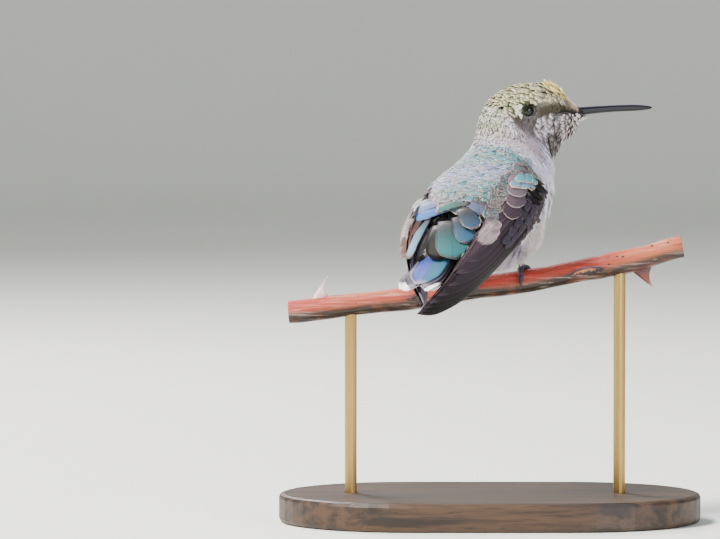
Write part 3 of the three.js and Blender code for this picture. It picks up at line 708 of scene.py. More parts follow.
def thighGround(side):
    # a leg's surface: rows from the flank to the heel as forward, out, up, half width and depth
    foot = unseated(ankle(side))
    y = foot[1]
    rows = np.array([(f, -side * e, z, w, d) for f, e, z, w, d in thigh["steps"]] + [
        (foot[0] - 1.1, mix(y, -side * 5.2, 0.7), 5.2, 2.5, 2.9),
        (foot[0] - 1.4, mix(y, -side * 4.6, 0.35), 3.6, 1.6, 1.8),
        (foot[0] - 1.3, y, 2.3, 0.95, 1.05)])

    def ground(a, b, grow=0.0):
        # a runs 0 at the flank to 1 at the heel, b goes round
        a, b, grow = even(a, b, grow)
        x, yy, z, half, deep = np.moveaxis(alongRows(rows, np.clip(a, 0, 1) * (len(rows) - 1)), -1, 0)
        up = (deep + grow) * np.cos(b)
        return np.stack([x + 0.87 * up, yy + (half + grow) * np.sin(b),
                         z + 0.5 * up - 3.0 * np.clip(a - 1, 0, 1)], -1)
    return ground


print("skin")
# Skin under the coat: thin dusky hide with pin marks where the feathers root, its colour the plumage's
# darkened as painted shade for the gaps between feathers
skinMaterial, add, shader = newMaterial("skin, thin dusky hide with feather roots", Roughness=0.8,
                                         Subsurface_Weight=0.1, Subsurface_Scale=0.001)
toneNode = add("Attribute", out="Color", attribute_name="tone")
spots = add("TexVoronoi", {"Scale": 1400.0, "Vector": add("TexCoord", out="Object")})
pin = add("MapRange", (spots, 0.05, 0.45))
feed(shader, {"Base Color": add("Mix", (pin, rgba("#302f2f"), toneNode)),
              "Normal": add("Bump", dict(Strength=0.5, Distance=0.0001, Height=pin))})

rows, cols = 240, 140
s = np.linspace(0, bodyEnd, rows)[:, None]
t = circle(cols, -np.pi)
depth = mix(0.9, 0.5, ease(5.5, 7.5, s)) * (1 - 0.75 * ease(9.8, 10.8, s))
ripple = 0.05 * np.sin(s * 37 + 5 * np.sin(t * 3)) * ease(0.5, 2, s)
points, faces = tubePiece(seated(bodyGround(s, t, -depth + ripple)))
ss, tt = np.broadcast_arrays(s, t)
tone = markings(ss.ravel(), tt.ravel())[0]
skinBlocks = [(points, faces)]
# painted shade: the skin takes the plumage colour darkened to 0.55, so gaps between feathers read as
# shadow
tones = [np.concatenate([tone, tone[:1], tone[-1:]]) * 0.55]
uv = np.stack([(tt.ravel() / (2 * np.pi)) % 1.0, ss.ravel() / bodyEnd], -1)
uvs = [np.concatenate([uv, [[0.5, 0.0]], [[0.5, 1.0]]])]
for side in (1, -1):
    a = np.linspace(0, 1, 60)[:, None]
    b = circle(48, -np.pi)
    p, f = tubePiece(seated(thighGround(side)(a, b, -0.35)))
    skinBlocks.append((p, f))
    # painted shade: the thigh skin takes the flank colour darkened to 0.4
    tones.append(np.broadcast_to(plumage["flank"] * 0.4, (len(p), 3)))
    u = np.stack([np.broadcast_to((b + np.pi) / (2 * np.pi) * 0.06 + (0.30 if side > 0 else 0.64),
                                  (60, 48)).ravel(),
                  np.broadcast_to(0.20 + 0.08 * a, (60, 48)).ravel()], -1)
    uvs.append(np.concatenate([u, u[:1], u[-1:]]))
points, faces = joined(skinBlocks)
makePiece("skin", points, faces, skinMaterial, {"Unwrap": np.concatenate(uvs)},
          {"tone": np.concatenate(tones)},
          ("trunk", "neck", "head", "leg_left", "leg_right"))

print("back")
# scale-like feathers in staggered rows, their lie opening outwards to the flanks
back = lambda a, b: dict(
    rows=6, cols=7, long=mix(3.0, 2.2, ease(3.2, 5.0, a)) * between(0.85, 1.15, a),
    wide=mix(2.0, 1.5, ease(3.2, 5.0, a)) * between(0.9, 1.1, a),
    lie=0.30 * np.sin(b) * ease(5, 3, a) + astray(0.12, a),
    fray=0.16, root=0.42, lift=0.035 * chance.random(len(a)), arch=0.03, wave=0.025,
    tilt=astray(0.02, a), round=0.8, thick=0.03)
field("back_feathers", (5.4, 1.98), (0.72, 0.85), back,
      lambda a, b: degrees(b) < mix(82, 70, ease(3.4, 4.8, a)), gleamVane, rimWide=0.12, rootShade=0.9,
      amount=0.10, recolour=lambda a, b, tone, rim: (mix(tone, plumage["buff"],
          0.55 * (chance.random((len(a), 1)) < 0.12)), rim))
field("back_barbs", (5.3, 2.15), (0.95, 0.9), lambda a, b: dict(
    rows=4, blades=5, long=between(1.4, 2.2, a), breadth=0.9, spread=0.14,
    width=0.13, root=0.15, lift=0.03, lie=0.30 * np.sin(b) * ease(5, 3, a)
    + astray(0.2, a)),
    lambda a, b: degrees(b) < mix(84, 72, ease(3.4, 4.8, a)), amount=0.14,
    recolour=lambda a, b, tone, rim: (mix(tone, rim, 0.05 + 0.75 * chance.random((len(a), 1)) ** 3), rim))

print("crown and nape")
# oval feathers, green in the middle and cream round the edge, standing up towards the bill
field("crown_feathers", (9.6, 6.0), (0.84, 0.90), lambda a, b: dict(
    rows=7, cols=7, long=mix(1.8, 2.3, ease(6.6, 7.6, a)) * mix(1.0, 0.8, ease(8.4, 9.0, a))
    * between(0.82, 1.18, a),
    wide=mix(1.2, 1.4, ease(6.6, 7.6, a)) * mix(1.0, 0.75, ease(8.3, 8.8, a)) * between(0.9, 1.1, a),
    lie=astray(0.16, a), fray=0.16, point=0.25, root=0.32, lift=between(0.03, 0.09, a),
    erect=6 + 44 * ease(8.80, 9.2, a) * (1 - 0.35 * ease(9.4, 9.8, a)) * ease(80, 25, degrees(b))
    + 9 * chance.random(len(a)), sink=0.25 + 0.35 * ease(9.1, 9.4, a) * ease(80, 40, degrees(b)),
    arch=0.20, wave=0.05, tilt=astray(0.10, a), round=0.75),
    lambda a, b: (degrees(b) < mix(58, 78, ease(6.2, 7.4, a))) & clearOfEyes(a, b, 1.85, 1.6),
    rimWide=0.32, slot="head", rootShade=0.6, fade=0.5, amount=0.12)
# pointed feathers standing in the crest
field("crest_feathers", (9.55, 9.0), (0.45, 0.5), lambda a, b: dict(
    rows=6, cols=5, long=between(1.6, 2.3, a), wide=0.8, point=0.7, neck=0.8,
    round=0.3, fray=0.15, root=0.2, lift=0.02, sink=0.35, arch=0.15, wave=0.05,
    erect=between(56, 84, a) * ease(90, 20, degrees(b)), lie=astray(0.25, a), tilt=astray(0.2, a)),
    lambda a, b: degrees(b) < 44, rimWide=0.45, slot="head", rootShade=0.6, amount=0.1)
# narrower and looser down the nape, their points standing off the outline
field("nape_feathers", (6.4, 4.75), (0.62, 0.62), lambda a, b: dict(
    rows=6, cols=5, long=between(1.8, 2.7, a),
    wide=between(0.55, 0.85, a), point=0.6, neck=0.7, round=0.4, fray=0.28,
    lie=astray(0.22, a), root=0.3, lift=0.03, arch=0.08, wave=0.04,
    erect=2 + 9 * chance.random(len(a)) ** 2, tilt=astray(0.1, a)),
    lambda a, b: degrees(b) < mix(36, 62, ease(5.0, 6.4, a)), rimWide=0.36, slot="neck", rootShade=0.66,
    amount=0.14, recolour=towardsRim(0.35, 0.9))
# the short dense feathers that run out along the top of the bill
field("forehead_barbs", (10.9, 9.3), (0.40, 0.40), lambda a, b: dict(
    rows=4, blades=5, long=mix(1.4, 0.6, ease(9.2, 10.4, a)) * between(0.8, 1.2, a),
    breadth=0.4, spread=0.25, width=0.16, root=0.3, lift=0.05, sink=0.12,
    erect=mix(24, 3, ease(9.4, 10.3, a)) * between(0.6, 1.2, a),
    lie=0.3 * np.sign(b) * ease(30, 80, degrees(b)) + astray(0.2, a)),
    lambda a, b: degrees(b) < 92, slot="head", amount=0.16, rootShade=0.6)
# soft yellow fluff over the forehead, where pollen has brushed off
field("pollen_barbs", (9.65, 8.95), (0.42, 0.42), lambda a, b: dict(
    rows=5, blades=7, long=between(1.2, 1.8, a), breadth=0.5, spread=0.35,
    width=0.15, root=0.2, lift=0.05, sink=0.75, erect=between(35, 60, a), lie=astray(0.3, a)),
    lambda a, b: degrees(b) < 48, slot="head", amount=0.06, rootShade=0.7,
    recolour=lambda a, b, tone, rim: (tiled("#ffe092", len(a)), rim))
# the lore's feathers, small and flat, up to the eye, and a ring of the smallest round each eye
field("lore_barbs", (9.5, 7.4), (0.42, 0.42), lambda a, b: dict(
    rows=4, blades=5, long=0.9, breadth=0.35, spread=0.2, width=0.14, root=0.3, lift=0.04,
    lie=astray(0.15, a)),
    lambda a, b: (degrees(b) > 58) & (degrees(b) < 100) & clearOfEyes(a, b, 1.45, 0.62), slot="head",
    amount=0.12, rootShade=0.6)
field("eye_ring_barbs", (8.7, 6.0), (0.30, 0.30), lambda a, b: dict(
    rows=4, blades=5, long=0.62, breadth=0.25, spread=0.25, width=0.11, root=0.3, lift=0.05,
    sink=-0.05, lie=astray(0.15, a)),
    lambda a, b: clearOfEyes(a, b, 1.38, 0.38) & ~clearOfEyes(a, b, 4.4, 0.3) & (degrees(b) < 112),
    slot="head", amount=0.12, rootShade=0.7)

print("cheeks and neck")
# short dense barbs that run back and down from the eye and swing round to the neck
field("cheek_barbs", (8.3, 4.4), (0.66, 0.66), lambda a, b: dict(
    rows=4, blades=7, long=mix(2.2, 1.1, ease(6.0, 7.6, a)) * between(0.8, 1.2, a),
    breadth=0.62, spread=0.24, width=0.17, root=0.45, lift=0.06, erect=between(2, 7, a),
    lie=-np.sign(b) * 0.62 * ease(8.2, 7.4, a) * ease(4.4, 5.8, a) * ease(125, 100, degrees(b))
    + astray(0.14, a)),
    lambda a, b: (degrees(b) > mix(30, 60, ease(5.0, 6.6, a)))
    & (degrees(b) < mix(124, 112, ease(6, 7, a))) & ~((a > 7.9) & (degrees(b) < 96))
    & clearOfEyes(a, b, 1.75, 1.2), amount=0.14, slot="neck", rootShade=0.62)
# the white spot behind each eye
count = 90
aroundEye = np.radians(between(82, 172, count))
off = between(1.60, 2.35, count) - 0.30 * np.abs(aroundEye - np.radians(128))
sa, sb = groundScale(bodyGround, 7.19, np.radians(-76))
spotA = 7.19 + off * np.cos(aroundEye) / sa
spotB = (np.radians(76) - off * np.sin(aroundEye) / sb) * np.where(np.arange(count) % 2 == 0, 1, -1)
coatPiece("eye_spot", barbs(bodyGround, spotA, spotB, dict(
    rows=4, blades=5, long=0.7, breadth=0.35, spread=0.25, width=0.13, root=0.2, lift=0.1,
    sink=-0.12, erect=5.0, lie=astray(0.15, count))), vary(tiled("#ffffff", count), 0.04, 0.01),
    slot="head", rootShade=0.85)
# pale rounded feathers of the malar stripe, puffed into lobes
field("malar_puffs", (8.45, 6.8), (0.85, 0.85), lambda a, b: dict(
    rows=7, cols=9, long=between(1.7, 2.3, a), wide=between(1.0, 1.5, a), root=0.5, lift=0.2,
    erect=between(10, 24, a), arch=0.45, curl=-0.5, round=0.8, fray=0.22,
    wave=0.10, lie=np.sign(b) * 0.45 + astray(0.25, a), neck=0.6, tilt=astray(0.12, a)),
    lambda a, b: (degrees(b) > 96) & (degrees(b) < 118) & ~((a > 8.1) & (degrees(b) > 110)), rimWide=0.5,
    slot="head", amount=0.10, rootShade=0.16, fade=0.75, recolour=towardsRim(0.25, 0.7))
field("malar_barbs", (8.4, 6.8), (0.62, 0.62), lambda a, b: dict(
    rows=4, blades=7, long=between(0.9, 1.6, a), breadth=0.5, spread=0.5, width=0.17,
    root=0.1, lift=0.35, erect=between(14, 30, a), curl=-0.35, lie=np.sign(b) * 0.45 + astray(0.3, a)),
    lambda a, b: (degrees(b) > 97) & (degrees(b) < 117) & ~((a > 8.0) & (degrees(b) > 108)), slot="head",
    amount=0.06, rootShade=0.6)

print("throat and breast")
# pointed locks on the chin, then a comb of them under the root of the bill
field("chin_locks", (10.6, 8.35), (0.66, 0.66), lambda a, b: dict(
    rows=6, cols=5, long=between(1.4, 2.2, a),
    wide=between(0.65, 0.95, a), point=0.8, root=0.35, arch=0.2, round=0.3,
    neck=0.9, fray=0.2, lift=0.0, wave=0.05,
    erect=mix(6, 34, ease(8.8, 10.0, a)) + 10 * chance.random(len(a)),
    sink=0.15 + 0.25 * ease(10.2, 9.4, a), lie=-np.sign(b) * 0.2 + astray(0.2, a), tilt=astray(0.15, a)),
    lambda a, b: degrees(b) > mix(112, 104, ease(8.4, 9.2, a)), rimWide=0.5, slot="head", amount=0.16,
    rootShade=0.6, fade=0.6)
n = 240
along = np.linspace(0, 1, n) ** 0.8
ahead = mix(12.6, 18.7, along) + astray(0.1, n)
aside = between(-1, 1, n) * mix(1.5, 0.55, along)
base = np.stack([ahead, aside, 32.55 - 0.25 * aside ** 2 + 0 * ahead], -1)
drop = mix(4.0, 0.7, along ** 0.8) * between(0.72, 1.05, n)
tip = base + np.stack([-0.10 * drop + astray(0.12, n), 0.35 * aside + astray(0.1, n), -drop], -1)
combForm = dict(rows=6, cols=5, point=0.85, neck=0.9, round=0.3, root=0.0, lift=0.0, arch=0.15,
                wide=between(0.45, 0.80, n), fray=0.15, wave=0.04)
outward = np.stack([0 * aside, np.sign(aside) + astray(0.5, n), 0.3 + 0 * aside], -1)
ahead0 = np.array([pose["neckForward"], 0, 0])
comb = freeVanes(turned(base, 1.0), turned(tip, 1.0), turned(outward + ahead0, 1.0) - ahead0, combForm,
                 np.stack([0.5 + 0.04 * aside, 0.93 + 0.06 * along], -1))
coatPiece("chin_comb", comb, vary(mix(linear("#b9a88c"), linear("#e4dcd4"), chance.random((n, 1))), 0.12),
          vary(tiled("#fffaf2", n), 0.04), 0.6, contourVane, slot="head", rootShade=0.8, fade=0.4)
field("throat_feathers", (8.5, 5.2), (0.78, 0.84), lambda a, b: dict(
    rows=6, cols=5, long=mix(2.4, 1.8, ease(6, 8, a)) * between(0.85, 1.2, a),
    wide=between(0.9, 1.3, a), point=0.45, root=0.5, arch=0.16, fray=0.22,
    round=0.6, lift=0.05, sink=0.35 * ease(6.2, 7.2, a), wave=0.08,
    erect=4 + 12 * chance.random(len(a)) * ease(6, 7.5, a), lie=astray(0.2, a), tilt=astray(0.12, a)),
    lambda a, b: degrees(b) > mix(112, 118, ease(6, 8, a)), rimWide=0.42, slot="neck", amount=0.10,
    rootShade=0.45, fade=0.7, recolour=lambda a, b, tone, rim: (
        np.where(chance.random((len(a), 1)) < 0.65 * ease(5.8, 6.6, a)[:, None], plumage["spot"], tone),
        rim))
breastForm = lambda a, b: dict(
    rows=4, blades=7, long=mix(3.6, 2.6, ease(3, 5, a)) * between(0.8, 1.2, a),
    breadth=0.9, spread=0.24, width=0.22, root=0.8, lift=0.14,
    erect=between(1, 4, a), lie=astray(0.14, a))
field("breast_barbs", (5.9, 2.5), (1.0, 0.95), breastForm,
      lambda a, b: (degrees(b) > 74) & ~((degrees(b) < 104) & (a < 3.5))
      & ~((a > 4.9) & (degrees(b) < 116)),
      amount=0.10)
field("belly_barbs", (2.7, 0.15), (1.0, 1.0), lambda a, b: dict(
    rows=4, blades=7, long=mix(2.8, 4.2, ease(0.4, 2, a)) * between(0.75, 1.25, a),
    breadth=1.0, spread=0.30, width=0.24, root=0.8, lift=0.25,
    erect=4 + 12 * chance.random(len(a)) * ease(105, 140, degrees(b)), lie=astray(0.2, a)),
    lambda a, b: degrees(b) > 84, amount=0.14)
# loose white tips that break the outline of the breast and flank
field("flank_wisps", (4.8, 1.0), (1.4, 1.4), lambda a, b: dict(
    rows=5, blades=7, long=between(2.4, 4.4, a), breadth=0.8, spread=0.30,
    width=0.16, root=0.3, lift=0.35, erect=6 + 20 * chance.random(len(a)) ** 2, curl=-0.25,
    lie=astray(0.3, a)),
    lambda a, b: (degrees(b) > 84) & (degrees(b) < 172) & ((a > 2.4) | (degrees(b) > 118)), amount=0.08,
    rootShade=0.8, recolour=lambda a, b, tone, rim: (
        np.where(chance.random((len(a), 1)) < 0.14, plumage["buff"] * 0.6,
                 mix(tone, linear("#ffffff"), 0.5)), rim))

print("rump and coverts")
# near-black rump feathers: painted shadow for the dark gap under the hem of the back
field("rump_feathers", (1.75, 0.2), (1.1, 1.3), lambda a, b: dict(
    rows=6, cols=7, long=between(2.2, 3.0, a), wide=2.4, root=0.6, sink=0.35,
    lift=0.0, arch=0.08, fray=0.15, round=0.85, lie=astray(0.12, a)),
    lambda a, b: degrees(b) < 96, flightVane, rimWide=0.04, rootShade=0.5,
    recolour=lambda a, b, tone, rim: (tiled("#050404", len(a)), tiled("#080607", len(a))))


def hues(*names):
    # a row of colour for each name
    return np.array([linear(c) for c in names])


def laidOut(name, rowsOf, form, material, slot="trunk", rootShade=0.6, fade=0.5):
    # feathers given one by one: base and tip in the bird's frame, outward direction, breadth,
    # colour, rim colour, rim width, and its place on the unwrap
    base, tip, out = (np.array([r[k] for r in rowsOf], float) for k in (0, 1, 2))
    form = dict(form, wide=np.array([r[3] for r in rowsOf], float))
    place = np.stack([0.45 + 0.1 * chance.random(len(base)), 0.05 + 0.25 * chance.random(len(base))], -1)
    parts = freeVanes(base, tip, out, form, place)
    return coatPiece(name, parts, hues(*[r[4] for r in rowsOf]), hues(*[r[5] for r in rowsOf]),
                     np.array([r[6] for r in rowsOf]), material, slot=slot, rootShade=rootShade,
                     fade=fade)


# the last rows of the back's own feathers, laid over the roots of the hem
count = 34
b = np.radians(np.concatenate([np.linspace(-88, 84, count), np.linspace(-84, 88, count),
                               np.linspace(-80, 80, count)]))
a = np.repeat([1.72, 1.86, 2.0], count) + astray(0.04, 3 * count) - 0.10 * ease(20, 80, np.degrees(b))
fringeTone, fringeRim = markings(np.full_like(a, 2.3), b)
coatPiece("hem_fringe", leaves(bodyGround, a, b, dict(
    rows=7, cols=7, long=between(2.2, 3.1, a), wide=between(1.3, 1.8, a), root=0.3,
    sink=-0.15, lift=0.05, arch=0.08, fray=0.16, round=0.8, wave=0.04, thick=0.04,
    lie=0.2 * np.sin(b) + astray(0.15, a), tilt=astray(0.05, a))),
    vary(0.72 * mix(fringeTone, linear("#7f6f68"), 0.9 * chance.random((len(a), 1))), 0.14),
    vary(fringeRim, 0.06), 0.16, gleamVane, slot="trunk", rootShade=0.7)

# broad feathers along the hem of the back
laidOut("hem_feathers", [
    [(-20.2, -7.0, 15.6), (-19.6, -10.0, 10.8), (-0.55, -0.70, 0.35), 2.3, "#75666a", "#d9c1b1", 0.12],
    [(-20.6, -5.2, 16.0), (-20.7, -9.0, 11.4), (-0.65, -0.55, 0.40), 2.5, "#384e75", "#dcbfaa", 0.10],
    [(-21.2, -2.6, 16.0), (-21.5, -6.9, 12.4), (-0.80, -0.30, 0.45), 2.8, "#37507d", "#dcc3b2", 0.08],
    [(-22.3, -1.2, 14.7), (-20.6, 10.6, 11.2), (-0.90, 0.15, 0.30), 1.9, "#2f7cc8", "#f0c3a8", 0.08],
    [(-22.0, -4.2, 15.5), (-22.6, 3.6, 13.5), (-0.85, 0.00, 0.50), 1.7, "#086260", "#d0b09c", 0.08],
    [(-21.7, 0.6, 15.8), (-19.7, 10.8, 12.7), (-0.85, 0.25, 0.45), 1.9, "#6a83b3", "#ecd6cb", 0.10],
    [(-20.4, 4.6, 16.0), (-18.7, 11.2, 13.3), (-0.70, 0.50, 0.50), 1.5, "#9fa4b5", "#efdcd4", 0.14],
    [(-18.6, 8.0, 16.4), (-18.0, 11.7, 13.0), (-0.50, 0.80, 0.35), 1.4, "#b3a9b0", "#f7e6dc", 0.20],
], dict(rows=10, cols=9, arch=0.22, root=0.5, lift=0.06, bow=0.9, round=0.9, fray=0.06, thick=0.07,
        neck=0.55, wave=0.05), broadVane, rootShade=0.30, fade=0.9)

# uppertail coverts, rounded and laid over the root of the tail, dusky at their roots
laidOut("uppertail_coverts", [
    [(-24.9, 0.5, 11.0), (-28.6, -0.6, 3.4), (-0.8, -0.20, 0.55), 5.6, "#15100f", "#2c2325", 0.03],
    [(-24.9, -1.5, 12.0), (-28.6, -4.0, 3.6), (-0.75, -0.38, 0.60), 6.8, "#0c6066", "#9f9088", 0.04],
    [(-23.2, -5.2, 11.6), (-23.3, -6.8, 6.0), (-0.6, -0.65, 0.45), 3.2, "#333d69", "#b09ea0", 0.05],
    [(-24.1, -3.1, 12.9), (-25.9, -6.1, 6.9), (-0.7, -0.50, 0.50), 4.4, "#084f70", "#b39c90", 0.05],
    [(-23.3, -3.6, 14.6), (-24.6, -6.9, 9.8), (-0.65, -0.60, 0.50), 4.3, "#0f4360", "#c3a797", 0.07],
], dict(rows=9, cols=9, arch=0.40, root=0.6, lift=0.06, bow=0.5, round=1.0, fray=0.06, thick=0.07,
        neck=0.8, wave=0.06), broadVane, rootShade=0.15, fade=1.0)

# wisps that hang from the vent beside the legs
hang = np.repeat([0.0, 1.0], (90, 110))  # the second lot hang lowest, in front of the cane
a = mix(between(1.0, 2.9, 200), between(1.85, 2.75, 200), hang)
b = np.pi + np.radians(mix(between(-52, 52, 200), between(8, 50, 200), hang))
coatPiece("vent_wisps", barbs(bodyGround, a, b, dict(
    rows=5, blades=9, long=between(3.2, 5.6, 200) + 0.6 * hang, breadth=1.2, spread=0.5,
    width=0.15, root=0.3, lift=0.4, erect=mix(between(18, 46, 200), between(46, 84, 200), hang),
    curl=-0.4, lie=astray(0.3, 200))),
    vary(tiled("#c4bac6", 200), 0.08, 0.01), slot="trunk", rootShade=0.6)

print("thighs")
for side, word in bothSides:
    ground = thighGround(side)
    a, b = rootRows(ground, 0.12, 0.97, 0.9, 0.9)
    parts = barbs(ground, a, b, dict(
        rows=4, blades=7, long=mix(2.8, 1.3, ease(0.4, 0.9, a)) * between(0.75, 1.25, a), breadth=0.8,
        spread=0.25, width=0.2, root=0.4, lift=0.25, erect=between(8, 18, a),
        lie=astray(0.2, a)), flow=1.0,
        place=np.stack([(0.30 if side > 0 else 0.64) + (b + np.pi) / (2 * np.pi) * 0.06,
                        0.20 + 0.08 * a], -1))
    coatPiece("thigh_barbs_" + word, parts, vary(tiled("#ddd3d2", len(a)), 0.12),
              slot="leg_" + word, rootShade=0.4)

print("wings")
# each row: leading edge then trailing edge, as forward, up and outward from the bird's middle
wingTables = {
    1: np.array([(-8.8, 23.0, 9.5, -11.0, 23.4, 8.9), (-5.0, 18.5, 11.1, -15.4, 20.2, 8.4),
                 (-5.0, 14.3, 11.4, -19.6, 16.2, 8.5),
                 (-8.4, 9.8, 10.6, -22.6, 12.1, 8.8), (-13.2, 5.6, 9.2, -26.4, 7.9, 8.3),
                 (-18.8, 1.1, 7.5, -30.5, 3.7, 7.1),
                 (-26.3, -3.8, 5.5, -33.7, -0.7, 5.2), (-34.1, -6.6, 3.6, -36.9, -4.2, 3.4),
                 (-39.6, -7.0, 2.2, -39.5, -6.5, 2.2)]),
    -1: np.array([(-10.0, 19.4, 6.4, -11.6, 19.6, 6.0), (-6.0, 16.6, 9.2, -14.0, 17.8, 7.5),
                  (-5.0, 13.6, 10.6, -17.4, 15.1, 8.2),
                  (-6.1, 9.7, 10.9, -21.3, 12.0, 8.6), (-10.7, 5.6, 10.0, -25.2, 8.2, 8.2),
                  (-17.0, 1.2, 8.0, -28.4, 3.7, 6.6),
                  (-23.8, -3.0, 4.8, -31.2, -0.9, 3.8), (-30.4, -5.4, 1.8, -33.2, -3.7, 1.0),
                  (-35.2, -5.2, -0.8, -35.0, -4.7, -0.8)])}
wing = dict(length=46.6, camber=0.12, thick=1.7, thin=0.62,
            tips=[1.0, 0.97, 0.93, 0.88, 0.82, 0.75, 0.68, 0.615, 0.55, 0.46, 0.42, 0.39, 0.36, 0.33,
                  0.30, 0.27],
            edges=[0.0, 0.9, 1.9, 3.0, 4.3, 5.8, 7.4, 9.0, 10.6, 12.2, 13.4, 14.2, 14.8, 15.4, 15.9,
                   16.4])


def wingGround(side, face=1):
    # between the leading and trailing edges, arched outwards; face 1 is the outer face, -1 the inner
    table = wingTables[side]
    last = len(table) - 1
    spot = lambda r, k: np.stack([r[..., k], -side * r[..., k + 2], r[..., k + 1]], -1)

    def ground(u, c, h=0.0):
        # lead(u) + chord * c + out * (camber * chord's length * 4 c (1 - c) + half thickness + h)
        u, c, h = even(u, c, h)
        at = np.clip(u, 0, 1) * last
        row = alongRows(table, at)
        way = unit(spot(alongRows(table, np.minimum(at + 0.05, last))
                        - alongRows(table, np.maximum(at - 0.05, 0)), 0))
        lead = spot(row, 0)
        chord = spot(row, 3) - lead
        out = unit(np.cross(chord, way))
        out = np.where(out[..., 1:2] * -side < 0, -out, out)
        arch = 4 * c * (1 - c)
        arch = np.where(arch < 0, 0.3 * arch, arch)
        blade = mix(wing["thick"], wing["thin"], ease(0.12, 0.5, u)) / 2 * (0.8 + 0.2 * arch)
        up = (wing["camber"] * np.linalg.norm(chord, axis=-1) * (1 - 0.5 * ease(0.5, 1, u)) * arch
              + face * (blade + h))
        return (lead + chord * c[..., None] + out * up[..., None]
                + way * ((u - np.clip(u, 0, 1)) * wing["length"])[..., None])
    return ground


def wingPlace(side, u, c):
    # where a covert at (u, c) lies on the unwrap
    return np.stack([0.1 + 0.08 * c + (0.5 if side < 0 else 0), 0.1 + 0.8 * u], -1)


def wingBreadth(side, u):
    # the chord's length in millimetres
    row = alongRows(wingTables[side], np.clip(u, 0, 1) * (len(wingTables[side]) - 1))
    return np.linalg.norm(row[..., 3:] - row[..., :3], axis=-1)


def flightFeathers(side, face):
    # Feather k's leading edge runs edges[k] millimetres behind the wing's own and curves over to the
    # trailing edge at tips[k]; the feather fills what lies between. Each lies over the next one out,
    # its leading edge turned up a little. Columns sit at fixed distances behind that edge.
    n = 16
    step = np.array([0, 0.10, 0.28, 0.5, 0.75, 1.0, 1.2, 1.45, 2.6])
    v = np.concatenate([np.linspace(0, 0.80, 26),
                        1 - 0.20 * (1 - np.linspace(0, 1, 15)[1:]) ** 1.7])[None, :, None]
    rows, cols = v.shape[1], len(step) + 1
    k = np.arange(n)[:, None, None]
    tips = np.array(wing["tips"])[:, None, None]
    edges = np.array(wing["edges"])[:, None, None]
    start = 0.10 + 0.006 * k
    u = start + (tips - start) * v
    breadth = np.maximum(wingBreadth(side, u), 0.3)
    far = 1.0 + 0 * u
    near = np.minimum(edges * mix(0.55, 1, ease(0.1, 0.42, u)) / breadth,
                      far - 0.5 / np.maximum(breadth, 1))
    closing = np.sqrt(1 - 0.985 * np.clip((v - 0.86) / 0.14, 0, 1) ** 2)
    near = np.clip(far - (far - near) * closing, 0, 1)
    inMm = np.minimum(step[None, None, :] * closing,
                      (far - near) * breadth * np.linspace(0, 0.9, cols - 1)[None, None, :] ** 0.7)
    c = np.concatenate([near + inMm / breadth, far], -1)
    if face < 0:
        c = 1 - (1 - c) * mix(1.0, 0.94, ease(0, 0.2, v))
    w = np.concatenate([step, [4.0]])[None, None, :]
    shaft = 0.06 * np.exp(-((w - 0.5) / 0.22) ** 2) * (1 - 0.5 * v)
    layer = (0.03 * k if face > 0 else 0.03 * (15 - k)) * ease(1.0, 0.7, v) + 0.008 * k
    edge = 0.09 * np.exp(-w / 0.6) - 0.04 * ease(0.5, 3.0, w)
    edge = edge if face > 0 else -0.5 * edge
    h = (layer + edge * ease(0, 0.2, v) + shaft + 0.02 * np.sin(v * 23 + k * 1.7)
         - 0.5 * (1 - ease(0.0, 0.18, v)))
    u = u + 0 * c
    ground = wingGround(side, face)
    points = bothSheets(ground(u, c, h), ground(u, c, h - 0.07))
    across = np.interp(w, [0, 0.5, 4.0], [0, 0.5, 1.0])
    vane = np.stack(np.broadcast_arrays(across, v), -1)[0]
    vane = bothSheets(vane, vane)
    column = (np.arange(n) + (0 if face > 0 else n)) / (2 * n)
    bake = np.stack([column[:, None] + vane[None, :, 0] * 0.8 / (2 * n), 0.01 + 0.98 * vane[None, :, 1]
                     + 0 * column[:, None]], -1)
    # a pale line on the leading edge, with painted shade along the very edge and a painted shadow where
    # the next feather's edge begins
    shade = (1 + 0.25 * np.exp(-((w - 0.3) / 0.2) ** 2) - 0.30 * np.exp(-((w - 1.2) / 0.3) ** 2)
             - 0.85 * np.exp(-(w / 0.09) ** 2))
    shade = np.broadcast_to(shade if face > 0 else 1 + 0 * shade, h.shape)
    shade = bothSheets(shade[..., None], shade[..., None])[..., 0]
    return dict(points=points, faces=repeatFaces(leafFaces(rows, cols), n, points.shape[1]), caps=None,
                vane=np.broadcast_to(vane, (n,) + vane.shape), bake=bake, shade=shade)


def wingCore(side):
    # the flesh and quill bases inside the wing, from the shoulder to just past the wrist
    u = np.linspace(0.0, 0.62, 40)[:, None]
    outer = np.linspace(0.02, 0.94, 14)[None, :]
    inner = outer[:, ::-1]
    slim = ease(0.62, 0.5, u) * ease(-0.02, 0.05, u)
    upper = wingGround(side, 1)(u, outer, -0.30 * np.ones_like(u))
    lower = wingGround(side, -1)(u, inner, -0.30 * np.ones_like(u))
    middle = (upper + lower[:, ::-1]) / 2
    upper = middle + (upper - middle) * slim[..., None]
    lower = middle[:, ::-1] + (lower - middle[:, ::-1]) * slim[..., None]
    return tubePiece(seated(np.concatenate([upper, lower], 1)))


def wingVanes(side, rowsOf, form):
    # coverts given as base (u, c), tip (u, c) and breadth
    ground = wingGround(side)
    r = np.array(rowsOf, float)
    au, ac, bu, bc = r[:, 0], r[:, 1], r[:, 2], r[:, 3]
    sa, sb = groundScale(ground, (au + bu) / 2, (ac + bc) / 2)
    along, aside = (bu - au) * sa, (bc - ac) * sb
    form = dict(form, long=np.hypot(along, aside), lie=np.arctan2(aside, along), wide=r[:, 4],
                scale=(sa, sb), sink=-0.25 - 0.45 * np.clip(bc, 0, 1) - form.get("over", 0.0))
    return leaves(ground, au, ac, form, flow=1.0, place=wingPlace(side, au, ac))


